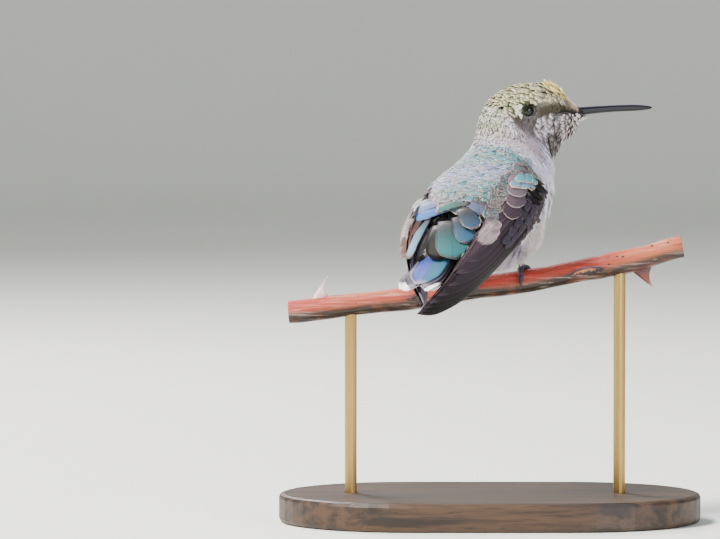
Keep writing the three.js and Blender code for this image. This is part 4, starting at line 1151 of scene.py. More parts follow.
flightTone = np.array([mix(linear("#040203"), linear("#43353f"), min(1.0, (k / 9) ** 1.8))
                       for k in range(16)])
for side, word in bothSides:
    outer, inner = flightFeathers(side, 1), flightFeathers(side, -1)
    n, m = outer["points"].shape[:2]
    core, coreFaces = wingCore(side)
    parts = stack(outer, inner)
    # the left wing's inner face is painted pale lavender grey as a painted sheen; the right's is its
    # outer tones lightened
    inside = flightTone * 1.25 if side > 0 else tiled("#8b8398", 16)
    coatPiece("wing_" + word, parts, vary(np.concatenate([flightTone, inside]), 0.06, 0.02),
              vary(tiled("#4f4249", 32), 0.05), 0.02, flightVane, ("wing_" + word,), "wing_" + word,
              rootShade=0.9)
    makePiece("wing_arm_" + word, core, coreFaces, skinMaterial, {},
              {"tone": tiled("#3a3038", len(core))})
    # pale line of the leading edge
    u = np.linspace(0.26, 0.985, 90)
    rim = wingGround(side)(u, np.full_like(u, -0.004), np.full_like(u, -0.12))
    rimRadius = 0.10 * np.sin(np.pi * np.clip((u - 0.26) / 0.725, 0, 1)) ** 0.4 + 0.02
    rim, rimFaces = tubePiece(seated(sweep(rim, rimRadius, 8)))
    makePiece("wing_edge_" + word, rim, rimFaces, downy, {}, {"tone": tiled("#c9bcbb", len(rim))})
    coverForm = dict(rows=6, cols=7, root=0.35, lift=0.08, arch=0.14, round=0.9, fray=0.05, thick=0.08)
    # broad coverts down the middle of the wing, each with a pale crescent at its tip
    tips = [(0.18, 0.80), (0.228, 0.78), (0.288, 0.75), (0.350, 0.75)]
    wide = wingVanes(side, [(u - 0.11, c - 0.02, u, c, 5.2) for u, c in tips[::-1]],
                     dict(coverForm, rows=10, cols=11, round=0.95, root=0.2, lift=0.12, arch=0.30,
                          fray=0.02, over=np.arange(4) * 0.05))
    wideTone = mix(linear("#32262e"), linear("#6f5f6a"), np.linspace(0, 1, 4)[:, None])
    coatPiece("wide_coverts_" + word, wide, vary(wideTone, 0.03, 0.01), tiled("#d3c2c4", 4),
              np.array([0.03, 0.045, 0.045, 0.03]), flightVane, slot="wing_" + word, rootShade=0.55)
    # blue-grey coverts with pale tips, in two columns
    middle = [(0.25 + 0.046 * i, 0.50 + 0.020 * i) for i in range(6)]
    frontRow = [(0.27 + 0.046 * i, 0.32 + 0.026 * i) for i in range(6)]
    small = [(u - 0.095, c - 0.05, u, c, 2.6) for u, c in (frontRow + middle)[::-1]]
    greys = wingVanes(side, small, dict(coverForm, lift=0.05, over=np.tile(np.arange(6) * 0.03, 2)))
    coatPiece("grey_coverts_" + word, greys, vary(tiled("#302b37", len(small)), 0.12, 0.04),
              vary(tiled("#675f70", len(small)), 0.06), 0.03, flightVane, slot="wing_" + word,
              rootShade=0.5)
    # small dark scales over the wrist and the leading edge
    ground = wingGround(side)
    a, b = rootRows(ground, 0.46, 0.06, 0.75, 0.8, 0.0, 0.36)
    kept = (b < mix(0.36, 0.12, ease(0.2, 0.46, a))) & (a > (0.06 if side > 0 else 0.16))
    a, b = a[kept], b[kept]
    scales = leaves(ground, a, b, dict(coverForm, long=between(1.6, 2.4, a), wide=1.15, lift=0.20,
                                       fray=0.15, sink=-0.15 - 0.5 * b, lie=astray(0.25, a) + 0.15),
                    flow=1.0, place=wingPlace(side, a, b))
    shade = chance.random((len(a), 1)) ** 1.8
    coatPiece("edge_coverts_" + word, scales, mix(linear("#0e090b"), linear("#4a3f47"), shade),
              vary(tiled("#74656b", len(a)), 0.1), 0.08, contourVane, slot="wing_" + word, rootShade=0.4)
    # teal lesser coverts at the shoulder, in rows that pale towards the wing's tip
    tealRows = [(u, c, k) for k, u in enumerate((0.182, 0.148))
                for c in np.array([0.53, 0.69, 0.85]) - 0.06 * (k % 2)]
    teal = wingVanes(side, [(u - 0.065, c + 0.01, u, c, 2.6) for u, c, k in tealRows],
                     dict(coverForm, root=0.2, lift=0.06, fray=0.10, arch=0.15, round=0.7,
                          over=np.array([0.45 + 0.10 * k for u, c, k in tealRows])))
    tealTone = np.array([mix(linear("#6fa0bd"), linear("#1f9aa0"), min(1.0, k / 1.5))
                         for u, c, k in tealRows])
    coatPiece("lesser_coverts_" + word, teal, vary(tealTone * 0.8, 0.08),
              vary(tiled("#d6bba6", len(tealRows)), 0.06), 0.16, gleamVane, slot="wing_" + word,
              rootShade=0.75)
    # black alula at the bend of the wing, three short lenses under one brown lock
    alulaRows = [(0.192, 0.60, 0.252, 0.27, 1.7), (0.165, 0.58, 0.225, 0.22, 1.7),
                 (0.132, 0.58, 0.174, 0.02, 1.9), (0.108, 0.46, 0.128, 0.10, 1.0)]
    alula = wingVanes(side, alulaRows, dict(coverForm, rows=9, point=0.4, lift=0.12, arch=0.45, root=0.1,
                                            over=np.array([0.35, 0.45, 0.55, 0.5])))
    coatPiece("alula_" + word, alula, hues("#020202", "#020303", "#030303", "#33271f"),
              hues("#1b1c20", "#212226", "#5a5655", "#97806f"), np.array([0.04, 0.05, 0.08, 0.20]),
              flightVane, slot="wing_" + word, rootShade=0.7)
    # scapulars draped from the back over the wing's inner edge
    a, b = rootRows(ground, 0.32, -0.03, 0.70, 0.80, 0.02, 1.12)
    kept = b > mix(-0.1 if side < 0 else 0.10, 0.94, ease(0.02, 0.13, a))
    a, b = a[kept], b[kept]
    drape = leaves(ground, a, b, dict(coverForm, long=between(2.0, 2.6, a),
                                      wide=mix(1.1, 1.8, ease(0.05, 0.15, a)), lift=0.03, root=0.25,
                                      fray=0.16, arch=0.04, thick=0.04, sink=-0.62, wave=0.03,
                                      lie=-0.1 + astray(0.15, a)), flow=1.0, place=wingPlace(side, a, b))
    lit = 0.6 if side < 0 else 0.0
    drapeTone = mix(mix(linear("#3f6670"), linear("#574c52"), chance.random((len(a), 1))),
                    linear("#d9cbd2"), lit)
    coatPiece("scapulars_" + word, drape, vary(drapeTone, 0.10),
              vary(tiled("#b39f95", len(a)), 0.06), 0.12, gleamVane, slot="wing_" + word, rootShade=0.85)

# the pale downy tufts that lie out over each wing's inner edge
for side, word in bothSides:
    n = 150
    lobe = (np.arange(n) % 3 == 0).astype(float)
    turn, off = chance.uniform(-np.pi, np.pi, n), np.sqrt(chance.random(n))
    a = mix(0.425, 0.382, lobe) + mix(0.040, 0.018, lobe) * off * np.cos(turn)
    b = mix(0.925, 0.945, lobe) + mix(0.055, 0.040, lobe) * off * np.sin(turn)
    parts = barbs(wingGround(side), a, b, dict(
        rows=6, blades=9, long=mix(2.7, 2.0, lobe) * between(0.75, 1.2, n), breadth=1.0, spread=0.35,
        width=0.15, root=0.2, sink=-0.35 - mix(1.1, 1.2, lobe) * (1 - off ** 2), lift=0.1, curl=-0.6,
        lie=0.5 * off * np.sin(turn) + astray(0.12, n)), flow=1.0,
        place=np.stack([0.2 + 0.1 * b, 0.2 + 0.3 * a], -1))
    coatPiece("flank_tuft_" + word, parts, vary(tiled("#bba6aa", n), 0.14, 0.02),
              slot="trunk", rootShade=0.45)

# inner secondaries of the left wing, seen past the rump
laidOut("tertials_left", [
    [(-19.0, 11.0, 14.0), (-25.0, 9.8, 5.8), (-0.75, 0.55, 0.35), 2.6, "#a08f8e", "#f3e6de", 0.10],
    [(-19.5, 9.8, 13.4), (-26.0, 9.2, 5.0), (-0.80, 0.35, 0.35), 2.8, "#5a3f3a", "#e4d2cb", 0.06],
    [(-20.2, 8.0, 12.8), (-27.2, 8.4, 3.6), (-0.80, 0.20, 0.45), 2.9, "#5b3d37", "#cbb4ae", 0.05],
    [(-20.6, 5.8, 12.6), (-28.4, 6.6, 3.6), (-0.80, 0.10, 0.50), 2.3, "#6f93ab", "#a08d8c", 0.10],
    [(-21.2, 3.6, 11.8), (-28.4, 4.2, 3.2), (-0.80, 0.05, 0.55), 2.2, "#141114", "#2c2629", 0.03],
], dict(rows=10, cols=9, arch=0.35, root=0.3, lift=0.1, bow=0.8, round=0.9, fray=0.03, thick=0.1,
        neck=0.6, point=0.15), flightVane, slot="wing_left", rootShade=0.25, fade=0.9)
laidOut("tertials_right", [
    [(-19.0, -10.4, 13.4), (-24.0, -8.4, 7.6), (-0.70, -0.60, 0.35), 2.4, "#2a2126", "#5d5052", 0.04],
    [(-20.0, -8.6, 12.6), (-27.4, -7.4, 4.6), (-0.78, -0.35, 0.45), 2.6, "#3b2f35", "#7b6b69", 0.03],
], dict(rows=10, cols=9, arch=0.3, root=0.3, lift=0.0, bow=0.5, round=0.9, fray=0.03, thick=0.1,
        neck=0.6, point=0.15), flightVane, slot="wing_right", rootShade=0.7)

print("tail")
tail = dict(pairs=5, root=(-19.5, 0.0, 10.4), length=19.2, pitch=36.0, left=4.8, right=4.4,
            swing=0.075, feather=7.2, step=0.36)
points, vanes, tones, rims, widths, bakes = [], [], [], [], [], []
rows, cols = 26, 11
pitch = np.radians(tail["pitch"])
way, up = np.array([-np.cos(pitch), 0, -np.sin(pitch)]), np.array([-np.sin(pitch), 0, np.cos(pitch)])
t = (1 - (1 - np.linspace(0, 1, rows)) ** 1.35)[:, None]
w = np.linspace(-1, 1, cols)[None, :]
tailTones = [("#344893", "#29607a"), ("#454c60", "#383544"), ("#3a3644", "#353140"),
             ("#35303c", "#312c38"), ("#7c7782", "#3c3844")]
for pair in range(tail["pairs"]):
    for side in (1, -1):
        spread = (pair + 0.42) / (tail["pairs"] - 0.58)
        length = tail["length"] * (1 - 0.035 * abs(pair - 2))
        reach = tail["right"] if side > 0 else tail["left"]
        middle = (np.array(tail["root"]) + way * length * t[..., None]
                  + up * (-tail["step"] * (pair + (0 if side > 0 else 0.5)) - 0.9 * t ** 2)[..., None])
        drift = -side * spread * mix(0.7, reach, t ** 1.15) + tail["swing"] * length * t
        middle = middle + np.array([0, 1.0, 0]) * drift[..., None]
        tip = np.sqrt(np.maximum(0, 1 - ease(0.72, 1, t) ** 2 * 0.985))
        half = tail["feather"] * (1 - 0.07 * pair) / 2 * mix(0.45, 1, ease(0, 0.55, t)) * tip
        roof = (0.16 * (1 - np.abs(w)) + 0.07 * np.exp(-(w / 0.09) ** 2) - 0.10 * w * w
                + 0.02 * np.sin(t * 30 + w * 3))
        top = middle + np.array([0, 1.0, 0]) * (half * w)[..., None] + up * (roof + 0 * t)[..., None]
        points.append(bothSheets(top, top - up * (0.13 * (1 - w * w) + 0 * t)[..., None]))
        vane = np.stack(np.broadcast_arrays(w * 0.5 + 0.5, t), -1)
        vane = bothSheets(vane, vane)
        vanes.append(vane)
        left, right = (linear(c) for c in tailTones[pair])
        if side < 0 and pair:
            left, right = right, left
        if side < 0 and pair == 0:
            left, right = linear("#6a7284"), linear("#55607a")
        shade = mix(right, left, ease(0.42, 0.58, vane[:, :1]))
        # painted shade: each tail feather darkened towards its root, where the coverts lie over it
        shade = shade * mix(0.35, 1.0, ease(0.25, 0.85, vane[:, 1:]))
        white = ease(0.86, 0.90, vane[:, 1:]) * (1.0 if pair >= 2 else 0.0)
        tones.append(mix(shade * (1 - 0.55 * ease(0.6, 0.8, vane[:, 1:]) * (pair >= 2)),
                         linear("#fbf6fa"), white))
        rims.append(np.tile(linear("#b3a3a8" if pair < 2 else "#f4eef2"), (len(vane), 1)))
        widths.append(np.full(len(vane), 0.03))
        k = pair * 2 + (side < 0)
        bakes.append(np.stack([(k + 0.05 + 0.85 * vane[:, 0]) / 10, 0.01 + 0.98 * vane[:, 1]], -1))
count = len(points[0])
makePiece("tail", seated(np.concatenate(points)), [repeatFaces(leafFaces(rows, cols), 10, count)],
          flightVane, {"Vane": np.concatenate(vanes), "OFBake": np.concatenate(bakes)},
          dict(tone=np.concatenate(tones), rim=np.concatenate(rims), rimWide=np.concatenate(widths)),
          ("tail",))
# pale undertail coverts below the root of the tail
a = between(0.05, 1.5, 150)
b = np.radians(180 + between(-75, 75, 150))
coatPiece("undertail_coverts", leaves(bodyGround, a, b, dict(
    rows=6, cols=7, long=between(3.2, 5.0, 150), wide=2.4, root=0.6, lift=0.3, arch=0.25,
    fray=0.2, lie=astray(0.15, 150), tilt=astray(0.15, 150))),
    vary(tiled("#a79fab", 150), 0.08), vary(tiled("#ded8de", 150), 0.04), 0.3, contourVane,
    slot="trunk", rootShade=0.4)

print("eyes and bill")
# Eye: a dark wet ball, near black in the middle and dark brown round it, with the ring round the middle
# tinted olive as a painted reflection of green surroundings
eyeMaterial, add, shader = newMaterial("eye, wet dark cornea", Roughness=0.12, IOR=1.34,
                                       Coat_Weight=0.25, Coat_Roughness=0.05)
toneNode = add("Attribute", out="Color", attribute_name="tone")
fleck = add("TexNoise", dict(Scale=3000.0, Detail=3.0, Vector=add("TexCoord", out="Object")))
feed(shader, {"Base Color": add("Mix", (add("Math", (fleck, 0.4), operation="MULTIPLY"), toneNode,
                                        rgba("#0d0a07")))})
# Eyelid: thin bare skin, olive grey, beaded with tiny scales
lidMaterial, add, shader = newMaterial("eyelid, thin beaded skin", Roughness=0.55)
beads = add("TexVoronoi", {"Scale": 5200.0, "Vector": add("TexCoord", out="Object")})
feed(shader, {"Base Color": add("Mix", (add("MapRange", (beads, 0.1, 0.7)), rgba("#15150e"),
                                        rgba("#070805"))),
              "Normal": add("Bump", dict(Strength=0.6, Distance=0.00004, Height=beads))})


for side, word in bothSides:
    axis = eyeAxis(side)
    across = unit(np.cross(axis, [0, 0, 1.0]))
    above = np.cross(across, axis)
    at = lambda lean, turn, r: (eyeCentre(side) + r[..., None]
                                * (axis * np.cos(lean)[..., None]
                                   + (across * np.cos(turn)[..., None] + above * np.sin(turn)[..., None])
                                   * np.sin(lean)[..., None]))
    lean = np.radians(np.linspace(1, 150, 44))[:, None]
    turn = circle(48)
    lean, turn = np.broadcast_arrays(lean, turn)
    ball = at(lean, turn, eye["radius"] * (1 + 0.05 * np.exp(-(lean / 0.5) ** 2)))
    points, faces = tubePiece(seated(ball))
    # painted reflection: olive-green round the middle, as if reflecting green surroundings
    tone = mix(linear("#060902"), linear("#161d09"), ease(0.30, 0.55, lean.ravel())[:, None])
    makePiece("eye_" + word, points, faces, eyeMaterial, {},
              {"tone": np.concatenate([tone, tone[:1], tone[-1:]])},
              ("eye_" + word,))
    around = np.linspace(0, 2 * np.pi, 72, endpoint=False)[:, None]
    section = circle(16)
    opening = eye["opening"] + 3.5 * np.cos(around) ** 2 + 1.0 * np.sin(around)
    leanLid = np.radians(opening + 6.5 - 6.5 * np.cos(section) + 0 * around)
    radius = eye["radius"] + 0.06 + 0.08 * np.sin(section) - 0.05 * (1 - np.cos(section)) + 0 * around
    lid = at(leanLid, around + 0 * section, radius)
    makePiece("eyelid_" + word, seated(lid), [gridFaces(72, 16, 1, 1)], lidMaterial)

# Bill: black horn, polished, with a painted lilac highlight along the top and a groove where the two
# halves close
bill = dict(root=(12.5, 0.0, 33.0), tip=(33.6, 0.0, 34.15), bow=0.35, wide=1.1, tall=1.36, swell=1.3,
            deepen=1.0, tipFrom=0.74)
billMaterial, add, shader = newMaterial("bill, polished black horn", Roughness=0.42, Coat_Weight=0.12,
                                        Coat_Roughness=0.2, Specular_IOR_Level=0.3)
toneNode = add("Attribute", out="Color", attribute_name="tone")
fibre = add("TexNoise", dict(Scale=900.0, Detail=4.0, Vector=add("TexCoord", out="Object")))
feed(shader, {"Base Color": add("Mix", (add("Math", (fibre, 0.35), operation="MULTIPLY"), toneNode,
                                        rgba("#0d0a10"))),
              "Normal": add("Bump", dict(Strength=0.25, Distance=0.00005, Height=fibre))})
t = np.concatenate([np.linspace(-0.06, 0.9, 80), 1 - 0.1 * (1 - np.linspace(0, 1, 15)[1:]) ** 2])[:, None]
q = circle(36)
middle = (mix(np.array(bill["root"]), np.array(bill["tip"]), t[..., None]) + np.array([0, 0, 1.0])
          * (bill["bow"] * np.sin(np.pi * t))[..., None])
swell = np.clip(1 - t, 0, 1) ** 3.2
blunt = np.sqrt(1 - 0.985 * np.clip((t - bill["tipFrom"]) / (1 - bill["tipFrom"]), 0, 1) ** 2)
groove = 1 - 0.10 * np.exp(-((np.abs(np.sin(q)) - 1) / 0.02) ** 2) * ease(1.0, 0.9, t)
nostril = 1 + 0.12 * np.exp(-((t - 0.14) / 0.05) ** 2) * np.exp(-((np.abs(q - np.pi) - 2.1) / 0.35) ** 2)
wide = (bill["wide"] + bill["swell"] * swell) / 2 * blunt * groove * nostril
tall = (bill["tall"] + bill["deepen"] * swell) / 2 * blunt * groove
ring = (middle + np.array([0, 1.0, 0]) * (wide * np.sin(q))[..., None] + np.array([0, 0, 1.0])
        * (tall * np.cos(q) - 0.02)[..., None])
points, faces = tubePiece(seated(turned(ring, 1.0)))
# painted highlight: lilac along the top of the bill's section, black below
tone = mix(linear("#020102"), linear("#4a4264"), (ease(0.70, 0.97, np.cos(q)) * (0.8 + 0 * t)).ravel()[:,
    None])
tone = np.concatenate([tone, tone[:1], tone[-1:]])
blocks, tones = [(points, faces)], [tone]
for side in (1, -1):
    # the gape's edge, running back from the bill under the lore
    s = np.linspace(8.45, 10.9, 40)
    path = bodyGround(s, -side * np.radians(mix(99, 97, (s - 8.45) / 2.45)),
                      mix(0.02, -0.12, (s - 8.45) / 2.45))
    points, faces = tubePiece(seated(sweep(path, 0.05 + 0.36 * ease(8.4, 9.4, s)
                                           * (1 - 0.3 * ease(10.2, 10.9, s)), 12)))
    blocks.append((points, faces))
    tones.append(tiled("#141116", len(points)))
points, faces = joined(blocks)
makePiece("bill", points, faces, billMaterial, {}, {"tone": np.concatenate(tones)}, ("bill",))

print("feet")
# Feet: dusky scutes, rings of horny skin across each toe
footMaterial, add, shader = newMaterial("foot, dusky scaled skin", Roughness=0.6)
toneNode = add("Attribute", out="Color", attribute_name="tone")
scale = add("TexVoronoi", {"Scale": 2600.0, "Vector": add("TexCoord", out="Object")})
feed(shader, {"Base Color": add("Mix", (add("MapRange", (scale, 0.2, 0.8)), toneNode, rgba("#3b323f"))),
              "Normal": add("Bump", dict(Strength=0.5, Distance=0.00006, Height=scale))})
# Claw: smooth black horn
clawMaterial, add, shader = newMaterial("claw, smooth black horn", Roughness=0.42, Coat_Weight=0.08)
grain = add("TexNoise", {"Scale": 2500.0, "Vector": add("TexCoord", out="Object")})
feed(shader, {"Base Color": add("Mix", (grain, rgba("#0c0a0b"), rgba("#2b2424")))})
# turn, drift and reach; the hind toe first
toes = [(-1, -1.1, 2.0), (1, -1.4, 1.9), (1, 0.9, 2.15), (1, 3.2, 1.9)]
for side, word in bothSides:
    x = pose["seat"][0] + footAlong[side]
    base = ankle(side)
    yaw = np.radians(pose["yaw"])
    behind = np.array([-np.cos(yaw), -np.sin(yaw), 0])
    heel = base + np.array([0, 0, toeSize["tarsus"] * 0.9]) + behind * 1.6
    t = np.linspace(-0.03, 1, 30)
    shank = base + (heel - base) * t[:, None] + behind * (0.15 * np.sin(np.pi * t))[:, None]
    size = toeSize["shank"] * (0.9 + 0.25 * (2 * np.abs(t - 0.5)) ** 2 + 0.05 * np.abs(np.sin(t * 22)))
    blocks, claws = [tubePiece(sweep(shank, size, 14, help=(0, 1, 0)))], []
    for turn, drift, reach in toes:
        t = np.linspace(0, 0.74, 34)
        out = caneRadius * 1.03 + 0.22 + toeSize["radius"] * 1.1
        lift = lambda q: 0.28 * np.sin(np.pi * np.clip((q - 0.66) / 0.3, 0, 1))
        path = aroundCane(x + drift * t, turn * reach * t, out + lift(t))
        knuckle = (1 + 0.13 * np.cos(t * 6 * np.pi) + 0.06 * np.abs(np.sin(t * 34))
                   - 0.25 * ease(0.66, 0.74, t))
        blocks.append(tubePiece(sweep(path, toeSize["radius"] * knuckle, 12, help=(1, 0.2, 0))))
        t = np.linspace(0.70, 1.0, 22)
        path = aroundCane(x + drift * t, turn * reach * t, out + lift(t) * 1.05)
        claws.append(tubePiece(sweep(path, 0.40 * (1 - ((t - 0.70) / 0.30) ** 1.4) + 0.05, 10, 0.8,
                                     help=(1, 0.2, 0))))
    points, faces = joined(blocks)
    makePiece("foot_" + word, points, faces, footMaterial, {}, {"tone": tiled("#171218", len(points))},
              ("foot_" + word,))
    points, faces = joined(claws)
    makePiece("claws_" + word, points, faces, clawMaterial)

print("cane")
# Rose cane: smooth waxy bark, its own coral red laid lighter on the side facing the light as painted
# light, with painted shade in a dark olive band beneath and a painted shadow on the side away from the
# light; streaked along its length, with dark specks of old lenticels; green wood and white pith show at
# the cut ends
barkMaterial, add, shader = newMaterial("rose cane, waxy streaked bark", Roughness=0.5, Coat_Weight=0.12,
                                         Coat_Roughness=0.25, Subsurface_Weight=0.08,
                                         Subsurface_Scale=0.0008)
toneNode = add("Attribute", out="Color", attribute_name="tone")
wornNode = add("Attribute", out="Fac", attribute_name="worn")
objectAt = add("TexCoord", out="Object")
along = add("Mapping", {"Scale": (60.0, 1400.0, 1400.0), "Vector": objectAt})
streak = add("TexNoise", dict(Scale=1.0, Detail=4.0, Roughness=0.6, Vector=along))
blotch = add("TexNoise", dict(Scale=260.0, Detail=3.0, Vector=objectAt))
speck = add("TexVoronoi", dict(Scale=1.0, Randomness=1.0, Vector=add("Mapping",
                                          {"Scale": (620.0, 900.0, 900.0), "Vector": objectAt})))
paleStreak = add("Mix", (add("Math", (add("MapRange", (streak, 0.52, 0.74)), 0.30),
                             operation="MULTIPLY"), toneNode, rgba("#f3cfc2")))
darkStreak = add("Mix", (add("Math", (add("MapRange", (streak, 0.46, 0.28)), 0.5), operation="MULTIPLY"),
                         paleStreak, add("Mix", (1.0, toneNode, rgba("#ad907c")), blend_type="MULTIPLY")))
mottled = add("Mix", (add("Math", (add("MapRange", (blotch, 0.5, 0.72)), 0.3), operation="MULTIPLY"),
                      darkStreak, rgba("#9a4c2c")))
specks = add("Math", (add("MapRange", (speck, 0.26, 0.14)), wornNode), operation="MULTIPLY")
feed(shader, {"Base Color": add("Mix", (specks, mottled, rgba("#2e1712")))})
height = add("Math", (add("Math", (streak, 0.6), operation="MULTIPLY"), specks), operation="SUBTRACT")
feed(shader, {"Normal": add("Bump", dict(Strength=0.5, Distance=0.00012, Height=height))})
# Prickle: hard smooth horny spine, darker at its foot
thornMaterial, add, shader = newMaterial("rose prickle, horny, smooth", Roughness=0.35, Coat_Weight=0.3)
toneNode = add("Attribute", out="Color", attribute_name="tone")
grainy = add("TexNoise", dict(Scale=1500.0, Detail=4.0, Vector=add("TexCoord", out="Object")))
feed(shader, {"Base Color": add("Mix", (add("Math", (grainy, 0.5), operation="MULTIPLY"), toneNode,
                                        add("Mix", (1.0, toneNode, rgba("#b3a0a0")),
                                            blend_type="MULTIPLY")))})

cane = dict(start=-42.0, end=40.0, scarAt=-16.0, woundAt=19.6, crackFrom=-41.0, crackTo=-24.5)
x = np.linspace(cane["start"], cane["end"], 520)[:, None]
q = circle(96, -np.pi)
girth = caneRadius * (1 + 0.03 * np.sin(0.31 * x) + 0.05 * np.exp(-((x - 28) / 5) ** 2))
wrap = lambda a: (a + np.pi) % (2 * np.pi) - np.pi
spot = lambda x0, q0, halfX, halfQ: np.exp(-((x - x0) / halfX) ** 2 - (wrap(q - q0) / halfQ) ** 2)
crackLine = -0.62 * np.pi + 0.05 * np.sin(x * 0.5) + 0.0 * q
crack = (np.exp(-(wrap(q - crackLine) / 0.045) ** 2) * ease(cane["crackFrom"], cane["crackFrom"] + 2, x)
         * ease(cane["crackTo"], cane["crackTo"] - 5, x))
# the wound is a pointed ellipse with a raised dark lip, torn open to pale wood along its upper side
woundX, woundQ = (x - cane["woundAt"]) / 4.0, wrap(q + 0.555 * np.pi
    - 0.012 * (x - cane["woundAt"])) / 0.46
oval = np.abs(woundX) ** 1.7 + np.abs(woundQ) ** 1.9
wound = ease(1.15, 0.85, oval)
tear = ease(0.50, 0.30, oval) * ease(0.0, 0.25, woundQ - 0.22 * np.sin(x * 5.3) * np.sin(x * 1.9))
scar = spot(cane["scarAt"], -0.55 * np.pi, 1.6, 0.50)
ridge = (0.02 * np.sin(11 * q + 0.4 * np.sin(x * 0.2)) + 0.015 * np.sin(23 * q + x * 0.11)
         + 0.03 * np.sin(x * 0.9 + 2 * np.sin(q)))
radius = (girth + ridge - 0.22 * crack - 0.20 * ease(0.9, 0.55, oval) * (1 + 0.2 * np.sin(x * 6))
          + 0.14 * wound * ease(0.6, 0.9, oval) + 0.25 * scar)
bark = aroundCane(x, q, radius)
# cut ends: bark rim, green wood, white pith
ends = []
for at, order in ((0, slice(None, None, -1)), (-1, slice(None))):
    middle = caneAt(x[at])[0]
    outward = unit(caneAt(np.array(cane["end"] if at else cane["start"]))
                   - caneAt(np.array(cane["end"] - 1 if at else cane["start"] + 1)))
    rings = [middle + (bark[at] - middle) * share
             + outward * (0.10 * (1 - share) ** 0.5 + 0.03 * np.sin(9 * q[0] + 20 * share))[:, None]
             for share in (0.97, 0.9, 0.8, 0.62, 0.45, 0.25, 0.1)]
    ends.append(np.stack(rings)[order] if at == 0 else np.stack(rings))
rings = np.concatenate([ends[0], bark, ends[1]])
turn = np.cos(q) * 0.92 - np.sin(q) * 0.38   # 1 facing the light, -1 away from it
# painted light and shade on the bark: top is the red laid where the bark faces the light, under is the
# near-black painted shade beneath
top, mid, under = linear("#a63628"), linear("#7c3618"), linear("#151102")
barkTone = np.broadcast_to(mid, bark.shape)
# layers over the mid red: painted highlight facing the light, painted shade beneath, painted shadow on
# the far side, tan towards the right end only on the side facing the light (partly the bark's colour,
# partly painted light), a pale tan patch on top near the left end, then the wound, its lip and tear, the
# scar, the crack and the dark foot of a prickle
for over, mask in (
        (top, ease(0.1, 0.75, turn + 0 * x)),
        (under, 0.97 * ease(0.05, -0.35, np.cos(q) + 0.10 * np.sin(x * 0.35))),
        (linear("#2e1d0a"), 0.7 * ease(-0.7, -1.0, turn + 0 * x)),
        (linear("#b57344"), 0.45 * ease(20, 34, x) * ease(-0.2, 0.7, turn)),
        (linear("#d9a070"), 0.35 * spot(-26, 0.1, 9, 1.2)),
        (linear("#210a0f"), wound),
        (linear("#7c5468"), 0.8 * wound * ease(0.75, 0.95, oval) * ease(0.0, 0.6, woundQ)),
        (linear("#c9794f"), 0.95 * tear),
        (linear("#2e100c"), np.clip(1.6 * scar, 0, 1)),
        (linear("#4a2a22"), np.clip(0.9 * crack, 0, 1)),
        (linear("#5a2320"), np.clip(1.4 * spot(31.0, np.pi, 4.0, 0.75), 0, 1))):
    barkTone = mix(barkTone, over, mask[..., None])
faceTones = np.stack([np.tile(linear(c), (q.size, 1)) for c in
                      ("#7d5a2e", "#8f8a3a", "#b9b86a", "#d2cf9a", "#efe7cf", "#f6f0df", "#f6f0df")])
tone = np.concatenate([faceTones[::-1], barkTone, faceTones]).reshape(-1, 3)
worn = np.concatenate([np.zeros((7, q.size)), mix(0.25, 1.0, ease(4, 26, x)) * ease(-0.6, 0.2, turn),
                       np.zeros((7, q.size))]).ravel()
points, faces = tubePiece(rings)
ends = linear("#f6f0df")[None]
canePaint = {"tone": np.concatenate([tone, ends, ends]), "worn": np.concatenate([worn, [0, 0]])}
makePiece("cane", points, faces, barkMaterial, {}, canePaint, ("perch_cane",))

# each prickle: place along the cane, angle round it, length, half foot, hook, and its foot's,
# middle's and tip's colours
prickles = [(-35.2, 0.0, 4.2, 2.8, 2.4, "#c98f96", "#ecd2d4", "#d9b9bd"),
            (31.0, np.pi, 5.0, 2.9, 1.7, "#35100f", "#7a2f2a", "#e3bba5"),
            (26.6, np.pi, 0.9, 0.9, 0.2, "#1a0f0f", "#1d1110", "#2a1a18"),
            (-16.2, -0.5 * np.pi, 0.9, 1.5, -0.5, "#3c1c16", "#5c3226", "#6e4433")]
blocks, tones = [], []
t = np.linspace(0, 1, 40)[:, None]
q = circle(32)
for x, angle, length, foot, hook, low, middleTone, high in prickles:
    flare = (1 - t) ** 2.1
    x0 = x + hook * t ** 2
    halfAlong, halfAcross = mix(0.10, foot, flare), mix(0.09, 1.25, flare)
    up = aroundCane(x, angle, 1.0) - aroundCane(x, angle, 0.0)
    way = unit(caneAt(np.array(x + 0.5)) - caneAt(np.array(x - 0.5)))
    across = np.cross(up, way)
    middle = aroundCane(x0, angle, caneRadius - 0.9 + (length + 0.9) * t)
    rough = 1 + 0.03 * np.sin(5 * q + 9 * t)
    ring = (middle + way * (halfAlong * np.cos(q) * rough)[..., None]
            + across * (halfAcross * np.sin(q) * rough)[..., None])
    p, f = tubePiece(ring)
    share = np.broadcast_to(t, (40, 32)).ravel()
    share = np.concatenate([share, [0.0, 1.0]])[:, None]
    blocks.append((p, f))
    tones.append(mix(mix(linear(low), linear(middleTone), ease(0.1, 0.45, share)), linear(high),
                     ease(0.6, 1.0, share)))
points, faces = joined(blocks)
makePiece("prickles", points, faces, thornMaterial, {}, {"tone": np.concatenate(tones)})

print("stand")
